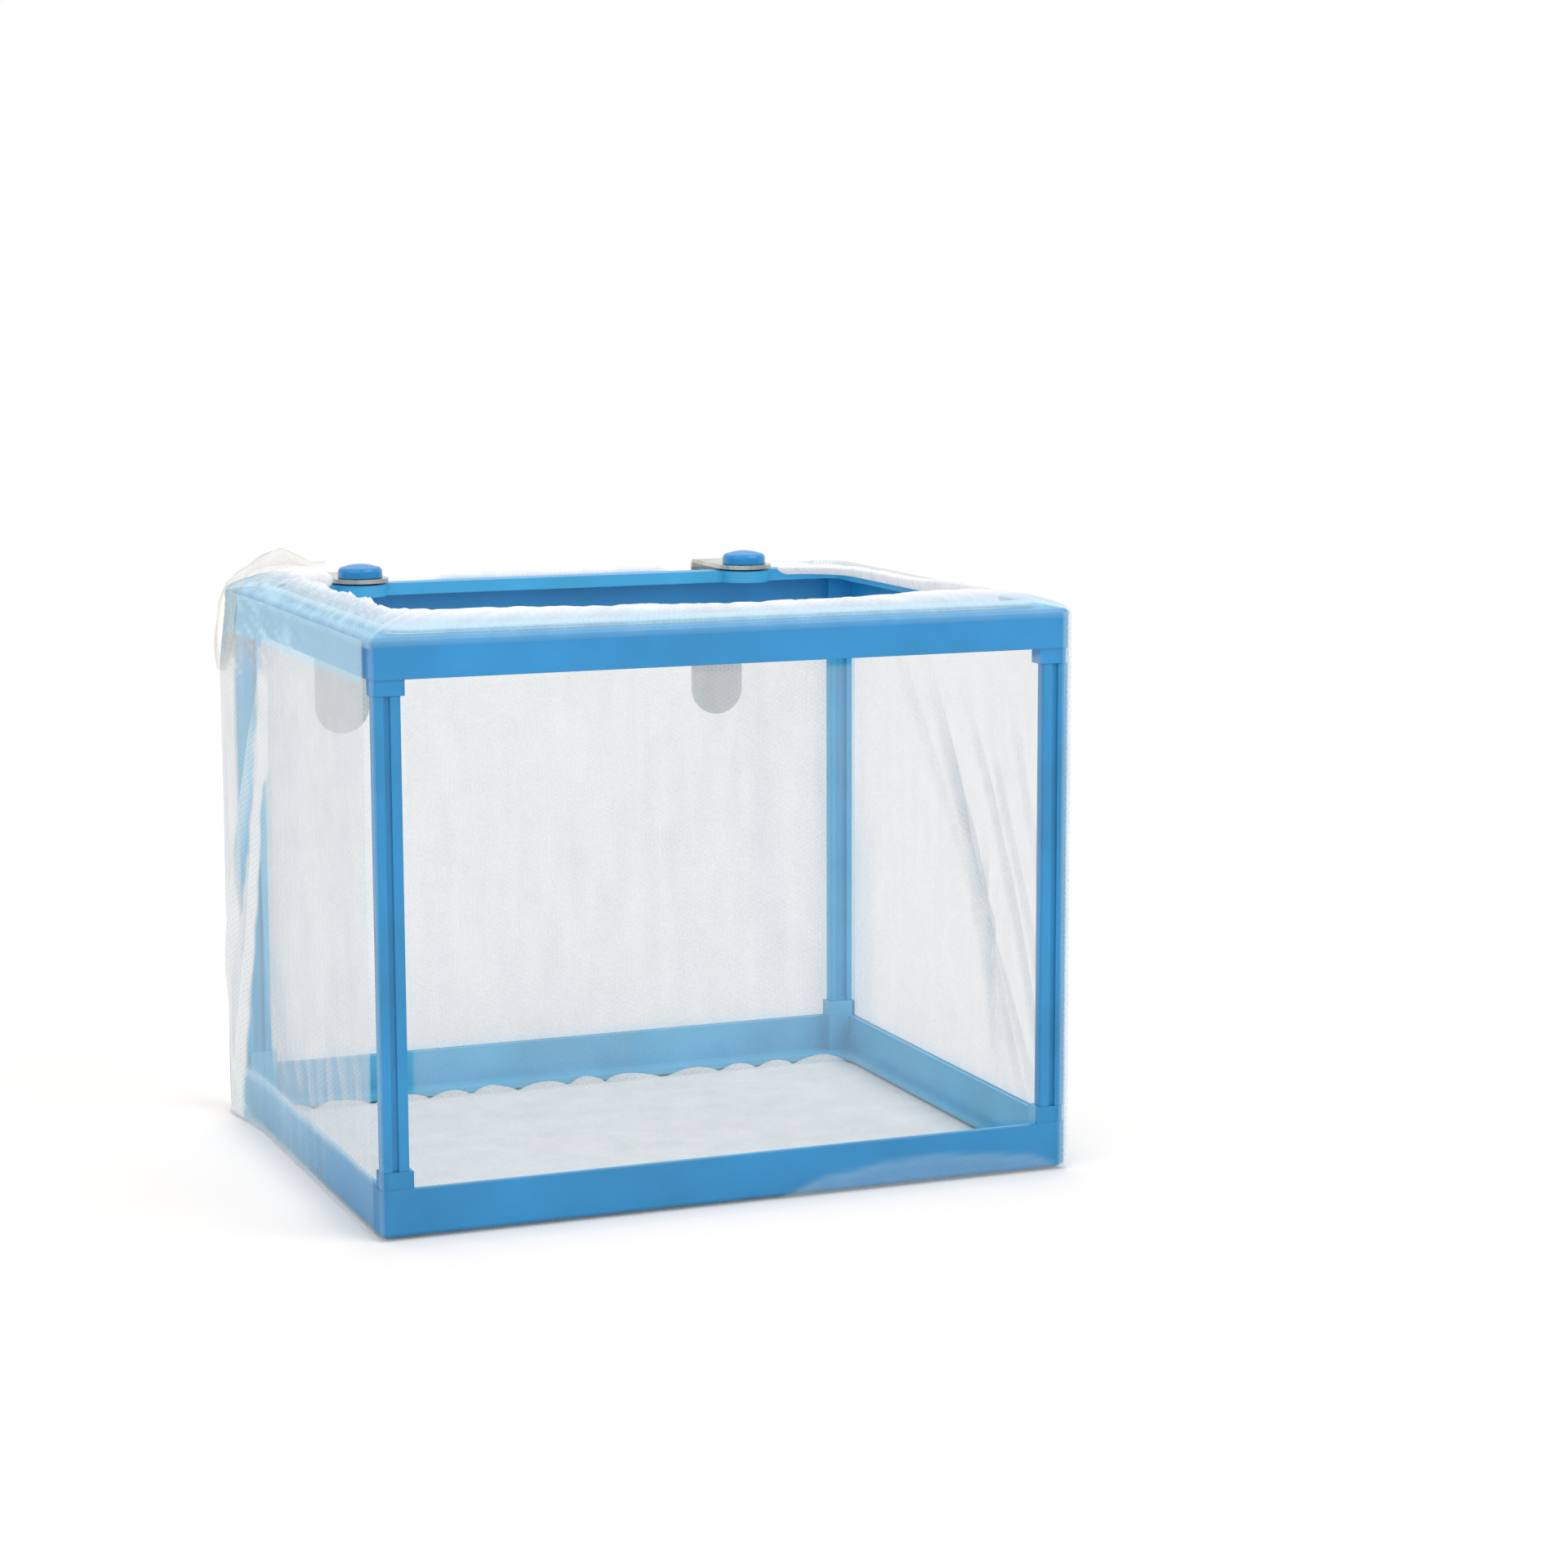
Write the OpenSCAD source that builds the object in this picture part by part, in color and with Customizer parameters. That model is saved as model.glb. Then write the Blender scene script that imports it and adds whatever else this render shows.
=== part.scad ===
// Fish breeding box: a knock-down moulded frame inside a loose net bag. Two bent strips,
// each held by a snap stud, hang it on the wall of an aquarium.
// Sizes are in millimetres. X runs to the right, Y to the back and Z up. The origin is
// the middle of the net floor's underside, which is what the box stands on.

/* [Frame] */
// Width over the frame, left to right
frame_w = 165; // [140:1:200]
// Depth over the frame, front to back
frame_d = 131; // [110:1:160]
// Height of the frame, from the bottom ring's underside to the top ring's flat top
frame_h = 131; // [100:1:160]
// Radius of the upright outer corners of both rings
corner_r = 2; // [2:0.1:3]
// Thickness of the upright wall of both rings
ring_wall = 1.8; // [1.2:0.1:1.9]

/* [Top ring] */
// Height of the top ring's wall
top_ring_h = 9; // [7:0.5:14]
// Width of the flat top, from the outer face to the mouth
flange_w = 6.5; // [6:0.1:8]
// Thickness of the flat top
flange_t = 1.8; // [1.2:0.1:2.4]
// Depth of the lip that turns down at the mouth
lip_h = 3; // [2.5:0.1:4.5]
// Thickness of that lip
lip_t = 1.4; // [1:0.1:2]
// Radius along the top ring's upper outer edge
top_edge_r = 1; // [0.4:0.1:1.1]
// Radius in the corners of the mouth
mouth_r = 3; // [1:0.5:6]

/* [Bottom ring] */
// Height of the bottom ring's wall
bottom_ring_h = 10.5; // [8:0.5:16]
// Reach of the ledge, from the outer face inwards
ledge_w = 4.5; // [3.5:0.1:6]
// Reach of the ledge along the rear, which is wider
rear_ledge_w = 8; // [5:0.1:9]
// Thickness of the ledge
ledge_t = 1.6; // [1:0.1:2.4]
// Radius in the inner corners of the ledge
ledge_r = 7; // [2:0.5:12]
// Radius along the bottom ring's lower outer edge
bottom_edge_r = 1.1; // [0.4:0.1:1.1]

/* [Leg sockets] */
// Width of a socket's collar along the front or back
collar_w = 7.5; // [7.2:0.1:10]
// Depth of a socket's collar along the side
collar_d = 4.8; // [4.5:0.1:6]
// Step from a ring's outer face in to the collar
collar_inset = 0.3; // [0.2:0.05:0.5]
// How far the collar hangs below the top ring
top_collar_h = 3.5; // [2:0.5:6]
// How far the collar stands above the bottom ring
bottom_collar_h = 4; // [2:0.5:6]
// Play between a leg's tenon and its socket, on each side
socket_play = 0.1; // [0.05:0.01:0.2]

/* [Legs] */
// Width of a leg, seen from the front
leg_w = 6.2; // [5.4:0.1:6.6]
// Depth of a leg
leg_d = 3.2; // [2.8:0.1:4]
// Step from the collar's outer face in to the leg
leg_step = 0.15; // [0.05:0.05:0.3]
// Width of the flute down the leg's outer face
flute_w = 1.4; // [0.8:0.1:2]
// Depth of that flute
flute_d = 0.7; // [0.3:0.1:1]
// Width of the hollow down the leg's inner face
hollow_w = 3; // [1:0.1:3.6]
// Depth of that hollow
hollow_d = 1.2; // [0.4:0.1:1.4]
// Width of the tenon at each end of a leg
tenon_w = 3.8; // [3:0.1:4]
// Thickness of the tenon
tenon_t = 1.7; // [1.3:0.1:1.8]
// Length of the tenon
tenon_l = 7.5; // [5:0.5:9]
// Height of the snap bead on the tenon
snap_h = 0.35; // [0.2:0.05:0.5]

/* [Hangers] */
// Distance of each stud in from the frame's side
hanger_inset = 31.5; // [28:0.5:50]
// Distance of each stud in from the frame's rear face
stud_inset = 5; // [4.5:0.1:6]
// Width of the bent strip
strip_w = 14; // [12.5:0.5:18]
// Thickness of the bent strip
strip_t = 1; // [0.6:0.1:1.4]
// How far the strip's outer face reaches behind the frame
hanger_reach = 16; // [12:0.5:24]
// How far the tongue's tip hangs below the top of the frame
tongue_drop = 40; // [25:1:55]
// Inside radius of the strip's bend
bend_r = 1.5; // [1:0.1:3]
// Play above and below the strip, between the pivot pad and the stud's head
strip_play = 0.1; // [0.05:0.05:0.2]

/* [Studs] */
// Diameter of the stud's head
head_d = 11; // [9:0.5:12.5]
// Height of the stud's head
head_h = 3.4; // [2.5:0.1:5]
// Radius round the head's shoulder
shoulder_r = 1.3; // [0.6:0.1:1.4]
// Height of the crown above the shoulder
crown_h = 0.7; // [0.3:0.1:1]
// Diameter of the shank
shank_d = 3.6; // [3:0.1:4]
// Radial play of the shank in the strip and in the ear
shank_play = 0.08; // [0.04:0.01:0.1]
// How far the snap barb stands out from the shank
barb_out = 0.4; // [0.2:0.05:0.5]
// Width of the slit that lets the barb spring inwards
slit_w = 0.8; // [0.5:0.1:1.2]
// Length of that slit
slit_l = 3.2; // [2:0.1:4]

/* [Ears] */
// Radius of the ear that carries a stud
ear_r = 6.5; // [5.5:0.1:8]
// Thickness of the ear
ear_t = 3; // [2.6:0.1:4]
// Diameter of the pad that the strip turns on
pad_d = 8; // [6:0.5:11]
// Height of that pad
pad_h = 0.4; // [0.3:0.1:0.8]
// Height of the recess under the ear, where the barb opens
barb_recess_h = 1.3; // [1:0.1:1.5]
// Play round the barb in that recess
barb_play = 0.35; // [0.2:0.05:0.6]

/* [Net bag] */
// Thickness of the net
net_t = 0.5; // [0.3:0.1:1]
// Space between the net and what it hangs on
net_gap = 0.3; // [0.2:0.05:0.6]
// Width of one strand of the net
strand_w = 1; // [0.6:0.1:2]
// Meshes of the net along the width
mesh_w = 10; // [4:2:12]
// Meshes of the net along the depth
mesh_d = 8; // [4:2:10]
// Meshes of the net along the height
mesh_h = 7; // [4:1:9]
// Width of the plain selvedge round each panel
selvedge_w = 2; // [1:0.5:4]
// Radius of the rolled seams
seam_r = 0.6; // [0.4:0.1:1]

/* [Hem] */
// Width of the gathered hem on the top ring
hem_w = 7.2; // [5.5:0.1:7.5]
// Height of the gathered hem
hem_h = 5; // [3.5:0.1:6]
// Radius of the hem that is rolled down behind the rear rail
rear_hem_r = 1.5; // [1.3:0.1:1.8]
// Diameter of the elastic cord inside the hem
elastic_d = 1.6; // [1:0.1:1.8]
// Play round the elastic in its casing
elastic_play = 0.3; // [0.2:0.05:0.35]

/* [Hidden] */
$fn = 64;
tiny = 0.01;
frame_blue = "#2f86c8";
leg_blue = "#3d8ecb";
stud_blue = "#1687cc";
net_white = "#e6f0f5";
steel = "#a9a89f";
elastic_white = "#f4f4f0";

// Heights
frame_z = net_t + net_gap;
top_z = frame_z + frame_h;
top_wall_z = top_z - top_ring_h;
leg_low_z = frame_z + bottom_ring_h + bottom_collar_h;
leg_high_z = top_wall_z - top_collar_h;
pad_z = top_z + pad_h;
strip_z = pad_z + strip_play;
head_z = strip_z + strip_t + strip_play;
hem_z = top_z + net_gap;

// Places seen from above
half_w = frame_w / 2;
half_d = frame_d / 2;
hanger_x = half_w - hanger_inset;
stud_y = half_d - stud_inset;
tongue_y = half_d + hanger_reach;
leg_inset = collar_inset + leg_step;
leg_mid = [leg_inset + leg_w / 2, leg_inset + leg_d / 2];

// The bag's walls hang this far outside the frame
net_out = net_gap + net_t;
// Middle of a rolled corner seam, outside both faces of the frame
corner_seam_out = net_out - seam_r + 0.05;
// Middle of the floor seam, outside the frame and above the ground
floor_seam_out = net_gap + seam_r;
floor_seam_z = seam_r + 0.1;
wall_low_z = floor_seam_z + seam_r + net_gap;
// Where a wall ends, beside the corner seam
wall_end = seam_r - corner_seam_out + net_gap;
// The rear hem hangs just behind the rear rail, with its top a little below the strips
rear_hem_y = half_d + net_gap + rear_hem_r;
rear_hem_z = top_z - 0.1 - rear_hem_r;
// The elastic lies low in the hem, towards the mouth
elastic_in = hem_w - net_out - hem_h / 2 + 0.3;
elastic_z = hem_z + hem_h / 2;
elastic_x = half_w - elastic_in;
casing_r = elastic_d / 2 + elastic_play;
// Centre of the hem's turn at each front corner, in from both faces of the frame
hem_turn = hem_w - net_out + 0.6;

// ---------- shared shapes ----------

// A rectangle with round corners, about the middle
module round_rect(w, d, r) {
    square([w - 2 * r, d], center = true);
    square([w, d - 2 * r], center = true);
    for (sx = [-1, 1])
        for (sy = [-1, 1])
            translate([sx * (w / 2 - r), sy * (d / 2 - r)]) circle(r = r);
}

// A straight run along X, facing the front: the profile's x points outwards and its y up
module run(length) {
    rotate([90, 0, -90]) linear_extrude(length, center = true) children();
}

// A profile carried round a rectangle with round corners
module carry_round(w, d, r) {
    for (side = [0:3]) {
        along = side % 2 == 0 ? w : d;
        across = side % 2 == 0 ? d : w;
        rotate(90 * side) {
            translate([0, -across / 2, 0]) run(along - 2 * r) children();
            translate([along / 2 - r, r - across / 2, 0]) rotate(-90)
                rotate_extrude(angle = 90) translate([r, 0]) children();
        }
    }
}

// Puts its children at one corner of the frame, mirrored so that x and y point inwards
module at_corner(side_x, side_y) {
    translate([side_x * half_w, side_y * half_d, 0])
        mirror([side_x > 0 ? 1 : 0, 0, 0]) mirror([0, side_y > 0 ? 1 : 0, 0])
            children();
}

module at_corners() {
    for (sx = [-1, 1])
        for (sy = [-1, 1])
            at_corner(sx, sy) children();
}

// Section of a ring's wall, with its upper or its lower outer edge rounded: x runs outwards
module wall_section(h, r, round_top) {
    intersection() {
        translate([-ring_wall, 0]) square([ring_wall, h]);
        union() {
            translate([-ring_wall, round_top ? 0 : r]) square([ring_wall, h - r]);
            translate([-ring_wall, 0]) square([ring_wall - r, h]);
            translate([-r, round_top ? h - r : r]) circle(r = r);
        }
    }
}

// Outline that ends within the ring's wall, clear of an edge that is rounded by edge_r
module inner_outline(edge_r) {
    inset = (ring_wall + edge_r) / 2;
    round_rect(frame_w - 2 * inset, frame_d - 2 * inset, corner_r - inset);
}

// ---------- the two rings ----------

// The collar round a leg's tenon, with the ring's round corner
module collar(low_z, high_z) {
    translate([0, 0, low_z]) linear_extrude(high_z - low_z) intersection() {
        square([collar_w, collar_d]);
        translate([half_w, half_d])
            round_rect(frame_w - 2 * collar_inset, frame_d - 2 * collar_inset,
                       corner_r - collar_inset);
    }
}

// A socket that opens at open_z and runs into the collar, up or down (dir 1 or -1)
module socket(open_z, dir) {
    depth = tenon_l + socket_play;
    w = tenon_w + 2 * socket_play;
    t = tenon_t + 2 * socket_play;
    translate([leg_mid.x - w / 2, leg_mid.y - t / 2, dir > 0 ? open_z - 1 : open_z - depth])
        cube([w, t, depth + 1]);
    // groove that the snap bead drops into
    translate([leg_mid.x, leg_mid.y + tenon_t / 2, open_z + dir * tenon_l / 2])
        rotate([0, 90, 0])
            cylinder(h = tenon_w / 2 + 2 * socket_play, r = snap_h + socket_play, center = true);
}

module bottom_frame() {
    color(frame_blue) difference() {
        union() {
            translate([0, 0, frame_z]) {
                carry_round(frame_w, frame_d, corner_r)
                    wall_section(bottom_ring_h, bottom_edge_r, false);
                linear_extrude(ledge_t) difference() {
                    inner_outline(bottom_edge_r);
                    translate([0, (ledge_w - rear_ledge_w) / 2])
                        round_rect(frame_w - 2 * ledge_w, frame_d - ledge_w - rear_ledge_w,
                                   ledge_r);
                }
            }
            at_corners() collar(frame_z + (bottom_edge_r + ledge_t) / 2, leg_low_z);
        }
        at_corners() socket(leg_low_z, -1);
    }
}

// Outline of an ear: round towards the mouth, square into the rear wall
module ear_outline() {
    back = stud_inset - ring_wall / 2;
    intersection() {
        circle(r = ear_r);
        translate([-ear_r, -ear_r]) square([2 * ear_r, ear_r + tiny]);
    }
    translate([-ear_r, 0]) square([2 * ear_r, back]);
}

module top_frame() {
    mouth_w = frame_w - 2 * flange_w;
    mouth_d = frame_d - 2 * flange_w;
    color(frame_blue) difference() {
        union() {
            translate([0, 0, top_wall_z])
                carry_round(frame_w, frame_d, corner_r)
                    wall_section(top_ring_h, top_edge_r, true);
            translate([0, 0, top_z - flange_t]) linear_extrude(flange_t) difference() {
                inner_outline(top_edge_r);
                round_rect(mouth_w, mouth_d, mouth_r);
            }
            translate([0, 0, top_z - lip_h]) linear_extrude(lip_h) difference() {
                round_rect(mouth_w + 2 * lip_t, mouth_d + 2 * lip_t, mouth_r + lip_t);
                round_rect(mouth_w, mouth_d, mouth_r);
            }
            at_corners() collar(leg_high_z, top_z - (top_edge_r + flange_t) / 2);
            for (sx = [-1, 1]) translate([sx * hanger_x, stud_y, 0]) {
                translate([0, 0, top_z - ear_t]) linear_extrude(ear_t) ear_outline();
                translate([0, 0, top_z - tiny]) cylinder(h = pad_h + tiny, d = pad_d);
            }
        }
        at_corners() socket(leg_high_z, 1);
        for (sx = [-1, 1]) translate([sx * hanger_x, stud_y, 0]) {
            translate([0, 0, top_z - ear_t - 1])
                cylinder(h = ear_t + pad_h + 2, r = shank_d / 2 + shank_play);
            translate([0, 0, top_z - ear_t - 1])
                cylinder(h = barb_recess_h + 1, r = shank_d / 2 + barb_out + barb_play);
        }
    }
}

// ---------- the legs ----------

// Section of a leg, fluted outside and hollowed inside, about its middle
module leg_section() {
    difference() {
        round_rect(leg_w, leg_d, 0.5);
        translate([-flute_w / 2, -leg_d / 2 - 1]) square([flute_w, flute_d + 1]);
        translate([-hollow_w / 2, leg_d / 2 - hollow_d]) square([hollow_w, hollow_d + 1]);
    }
}

// A tenon pointing up from the origin, with a tapered tip and a snap bead on its inner face
module tenon() {
    tip = 1;
    translate([-tenon_w / 2, -tenon_t / 2, -1]) cube([tenon_w, tenon_t, tenon_l - tip + 1]);
    translate([0, tenon_t / 2, tenon_l - tip]) rotate([90, 0, 0]) linear_extrude(tenon_t)
        polygon([[-tenon_w / 2, -tiny], [tenon_w / 2, -tiny], [tenon_w / 2 - tip / 2, tip],
                 [tip / 2 - tenon_w / 2, tip]]);
    translate([0, tenon_t / 2, tenon_l / 2]) rotate([0, 90, 0])
        cylinder(h = tenon_w / 2, r = snap_h, center = true);
}

module leg(side_x, side_y) {
    color(leg_blue) at_corner(side_x, side_y) translate([leg_mid.x, leg_mid.y, 0]) {
        translate([0, 0, leg_low_z]) linear_extrude(leg_high_z - leg_low_z) leg_section();
        translate([0, 0, leg_high_z]) tenon();
        translate([0, 0, leg_low_z]) mirror([0, 0, 1]) tenon();
    }
}

// ---------- the net bag ----------

// A flat panel of net, nx by ny meshes inside a plain selvedge, from the origin to [w, h]
module net_panel(w, h, nx, ny) {
    step_x = (w - 2 * selvedge_w + strand_w) / nx;
    step_y = (h - 2 * selvedge_w + strand_w) / ny;
    linear_extrude(net_t) difference() {
        square([w, h]);
        for (i = [0:nx - 1])
            for (j = [0:ny - 1])
                translate([selvedge_w + i * step_x, selvedge_w + j * step_y])
                    square([step_x - strand_w, step_y - strand_w]);
    }
}

module net_floor() {
    color(net_white) intersection() {
        translate([-half_w, -half_d, 0]) net_panel(frame_w, frame_d, mesh_w, mesh_d);
        linear_extrude(net_t) round_rect(frame_w, frame_d, corner_r);
    }
}

// A wall across the front, or across the back when it is turned half round
module cross_wall(high_z) {
    w = frame_w - 2 * wall_end;
    translate([-w / 2, -half_d - net_gap, wall_low_z]) rotate([90, 0, 0])
        net_panel(w, high_z - wall_low_z, mesh_w, mesh_h);
}

// A wall down the left side, or the right side when it is turned half round
module side_wall() {
    d = frame_d - 2 * wall_end;
    translate([-half_w - net_out, -d / 2, wall_low_z]) rotate([90, 0, 90])
        net_panel(d, top_z - wall_low_z, mesh_d, mesh_h);
}

module net_front_wall() { color(net_white) cross_wall(top_z); }
module net_rear_wall() {
    color(net_white) rotate(180) cross_wall(rear_hem_z - rear_hem_r - net_gap);
}
module net_left_wall() { color(net_white) side_wall(); }
module net_right_wall() { color(net_white) rotate(180) side_wall(); }

// The rolled seam that joins the walls to the floor
module seam_floor() {
    color(net_white) translate([0, 0, floor_seam_z])
        carry_round(frame_w + 2 * floor_seam_out, frame_d + 2 * floor_seam_out,
                    corner_r + floor_seam_out)
            circle(r = seam_r);
}

// The rolled seam up one corner of the bag
module corner_seam(side_x, side_y) {
    color(net_white) at_corner(side_x, side_y)
        translate([-corner_seam_out, -corner_seam_out, wall_low_z])
            cylinder(h = top_z - wall_low_z, r = seam_r);
}

// Section of the hem: x from the mouth outwards, starting at the frame's outer face, y up
module hem_section() {
    r = hem_h / 2;
    difference() {
        union() {
            translate([net_out - r, r]) circle(r = r);
            translate([net_out - hem_w + r, r]) circle(r = r);
            translate([net_out - hem_w + r, 0]) square([hem_w - 2 * r, hem_h]);
        }
        translate([-elastic_in, r]) circle(r = casing_r);
    }
}

// The hem along the front, turning both front corners
module hem_front() {
    color(net_white) translate([0, 0, hem_z]) {
        translate([0, -half_d, 0]) run(frame_w - 2 * hem_turn) hem_section();
        for (end = [0, 1]) mirror([end, 0, 0])
            translate([half_w - hem_turn, hem_turn - half_d, 0]) rotate(-90)
                rotate_extrude(angle = 90) translate([hem_turn, 0]) hem_section();
    }
}

// The hem down one side. Its end hangs over the rear rail, where the elastic turns down
module hem_side(side_x) {
    front = hem_turn - half_d;
    back = rear_hem_y + casing_r + 0.6;
    color(net_white) mirror([side_x > 0 ? 1 : 0, 0, 0]) difference() {
        translate([-half_w, (front + back) / 2, hem_z]) rotate(-90)
            run(back - front) hem_section();
        // the casing is closed at the back and leads downwards
        translate([-elastic_x, rear_hem_y, hem_z - 1])
            cylinder(h = elastic_z - hem_z + 1, r = casing_r);
    }
}

module hem_left() { hem_side(-1); }
module hem_right() { hem_side(1); }

// The hem behind the rear rail, with a casing for the elastic that opens upwards at each end
module hem_rear() {
    length = 2 * (elastic_x + casing_r + 0.6);
    low = elastic_d / 2 + 0.05;
    color(net_white) difference() {
        translate([0, rear_hem_y, rear_hem_z]) rotate([0, 90, 0])
            cylinder(h = length, r = rear_hem_r, center = true);
        translate([0, rear_hem_y, rear_hem_z]) rotate([0, 90, 0])
            cylinder(h = 2 * elastic_x, r = casing_r, center = true);
        for (sx = [-1, 1]) translate([sx * elastic_x, rear_hem_y, rear_hem_z - low])
            cylinder(h = low + rear_hem_r + 1, r = casing_r);
    }
}

// The elastic: round the front and sides on top of the frame, then down behind the rear rail
module hem_elastic() {
    r = elastic_d / 2;
    turn = hem_turn - elastic_in;
    side_l = rear_hem_y + half_d - hem_turn;
    color(elastic_white) {
        translate([0, elastic_in - half_d, elastic_z]) rotate([0, 90, 0])
            cylinder(h = frame_w - 2 * hem_turn, r = r, center = true);
        translate([0, rear_hem_y, rear_hem_z]) rotate([0, 90, 0])
            cylinder(h = 2 * elastic_x, r = r, center = true);
        for (side = [0, 1]) mirror([side, 0, 0]) {
            translate([half_w - hem_turn, hem_turn - half_d, elastic_z]) rotate(-90)
                rotate_extrude(angle = 90) translate([turn, 0]) circle(r = r);
            translate([elastic_x, hem_turn - half_d, elastic_z]) rotate([-90, 0, 0])
                cylinder(h = side_l, r = r);
            translate([elastic_x, rear_hem_y, rear_hem_z])
                cylinder(h = elastic_z - rear_hem_z, r = r);
            translate([elastic_x, rear_hem_y, elastic_z]) sphere(r = r);
            translate([elastic_x, rear_hem_y, rear_hem_z]) sphere(r = r);
        }
    }
}

// ---------- hangers and studs ----------

// The strip seen from the side, from the stud's axis to the tongue's straight part: x is
// back from the stud and y is up from the strip's underside
module strip_side(down) {
    back = tongue_y - stud_y;
    outer_r = bend_r + strip_t;
    square([back - outer_r, strip_t]);
    translate([back - strip_t, outer_r - strip_t - down]) square([strip_t, down - outer_r + strip_t - bend_r]);
    translate([back - outer_r, -bend_r]) intersection() {
        difference() {
            circle(r = outer_r);
            circle(r = bend_r);
        }
        square(outer_r);
    }
}

module hanger(side_x) {
    tip_r = strip_w / 2;
    tip_z = top_z - tongue_drop + tip_r;
    color(steel) translate([side_x * hanger_x, stud_y, strip_z]) difference() {
        union() {
            rotate([90, 0, 90]) translate([0, 0, -strip_w / 2])
                linear_extrude(strip_w) strip_side(strip_z - tip_z);
            cylinder(h = strip_t, r = tip_r);
            translate([0, tongue_y - stud_y, tip_z - strip_z]) rotate([90, 0, 0])
                cylinder(h = strip_t, r = tip_r);
        }
        translate([0, 0, -1]) cylinder(h = strip_t + 2, r = shank_d / 2 + shank_play);
    }
}

module hanger_left() { hanger(-1); }
module hanger_right() { hanger(1); }

// Half section of the stud's head, with a flat underside and a low crown
module head_section() {
    r = head_d / 2;
    side_h = head_h - crown_h - shoulder_r;
    crown_w = r - shoulder_r;
    // radius of the arc that rises crown_h over the flat of the head
    crown_r = (crown_w * crown_w + crown_h * crown_h) / (2 * crown_h);
    square([r, side_h]);
    square([crown_w, side_h + shoulder_r]);
    translate([crown_w, side_h]) circle(r = shoulder_r);
    intersection() {
        translate([0, head_h - crown_r]) circle(r = crown_r);
        translate([0, side_h + shoulder_r - tiny]) square([crown_w, crown_h + 2 * tiny]);
    }
}

module stud(side_x) {
    shank_l = head_z - (top_z - ear_t);
    shank_r = shank_d / 2;
    barb_h = barb_recess_h - 0.1;
    color(stud_blue) translate([side_x * hanger_x, stud_y, head_z]) {
        rotate_extrude() head_section();
        translate([0, 0, -shank_l]) difference() {
            rotate_extrude() polygon([
                [0, 0], [shank_r - barb_out, 0], [shank_r + barb_out, barb_h * 0.7],
                [shank_r + barb_out, barb_h], [shank_r, barb_h], [shank_r, shank_l + tiny],
                [0, shank_l + tiny]
            ]);
            translate([-slit_w / 2, -head_d / 2, -1]) cube([slit_w, head_d, slit_l + 1]);
        }
    }
}

module stud_left() { stud(-1); }
module stud_right() { stud(1); }

module leg_front_left() { leg(-1, -1); }
module leg_front_right() { leg(1, -1); }
module leg_rear_left() { leg(-1, 1); }
module leg_rear_right() { leg(1, 1); }
module seam_front_left() { corner_seam(-1, -1); }
module seam_front_right() { corner_seam(1, -1); }
module seam_rear_left() { corner_seam(-1, 1); }
module seam_rear_right() { corner_seam(1, 1); }

bottom_frame();
top_frame();
leg_front_left();
leg_front_right();
leg_rear_left();
leg_rear_right();
net_floor();
net_front_wall();
net_rear_wall();
net_left_wall();
net_right_wall();
seam_floor();
seam_front_left();
seam_front_right();
seam_rear_left();
seam_rear_right();
hem_front();
hem_left();
hem_right();
hem_rear();
hem_elastic();
hanger_left();
hanger_right();
stud_left();
stud_right();
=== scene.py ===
# %% [markdown]
# # Fish breeding box
# A knock-down breeding box for an aquarium: two moulded rings and four fluted legs make an
# open frame, and a bag of fine nylon net is pulled over it from below. The bag's hem is
# gathered over the top ring by an elastic cord. Two bent steel strips, each on a snap stud,
# hang the box on the tank's wall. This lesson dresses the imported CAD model: the moulded and
# steel parts keep their CAD shape and get real finishes, and every piece of net is modelled
# here as cloth.

import math

import bmesh
import bpy
from mathutils import Matrix, Vector, noise


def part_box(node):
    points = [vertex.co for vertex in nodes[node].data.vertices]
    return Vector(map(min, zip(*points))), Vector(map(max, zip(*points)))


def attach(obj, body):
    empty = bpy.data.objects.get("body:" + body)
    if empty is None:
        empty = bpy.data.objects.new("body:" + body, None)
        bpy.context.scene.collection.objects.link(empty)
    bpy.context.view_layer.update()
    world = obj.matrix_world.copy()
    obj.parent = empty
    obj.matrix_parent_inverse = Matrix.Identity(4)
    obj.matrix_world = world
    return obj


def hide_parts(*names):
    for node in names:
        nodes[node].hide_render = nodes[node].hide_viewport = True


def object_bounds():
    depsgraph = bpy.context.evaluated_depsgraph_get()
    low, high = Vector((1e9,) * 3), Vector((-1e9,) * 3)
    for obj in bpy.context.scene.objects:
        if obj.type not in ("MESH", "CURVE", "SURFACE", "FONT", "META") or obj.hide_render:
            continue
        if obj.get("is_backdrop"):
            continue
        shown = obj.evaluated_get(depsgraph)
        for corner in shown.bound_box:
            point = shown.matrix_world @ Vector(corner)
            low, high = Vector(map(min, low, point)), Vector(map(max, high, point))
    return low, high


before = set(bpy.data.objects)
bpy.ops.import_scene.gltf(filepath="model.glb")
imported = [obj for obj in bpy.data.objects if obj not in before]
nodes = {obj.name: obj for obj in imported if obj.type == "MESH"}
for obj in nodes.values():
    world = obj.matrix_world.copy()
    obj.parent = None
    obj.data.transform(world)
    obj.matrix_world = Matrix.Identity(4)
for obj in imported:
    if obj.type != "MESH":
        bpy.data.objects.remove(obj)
cad_low, cad_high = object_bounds()
print("CAD box, mm:", [round(1000 * (b - a), 1) for a, b in zip(cad_low, cad_high)])

# %% [markdown]
# ## Sizes that the cloth needs
# The net hangs on the frame, so its main sizes come from the CAD nodes. A few that a node's
# box can't tell, such as the widths of the bottom ring's ledges, repeat the part's source.
# All work below is in millimetres, because cloth is easier to think about that way, and a
# finished mesh is scaled to metres once.

# %% Measure the frame
MM = 0.001
# Heights of the top ring and of the collars below it, which are one node
TOP_RING_H, TOP_COLLAR_H = 9.0, 3.5


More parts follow.
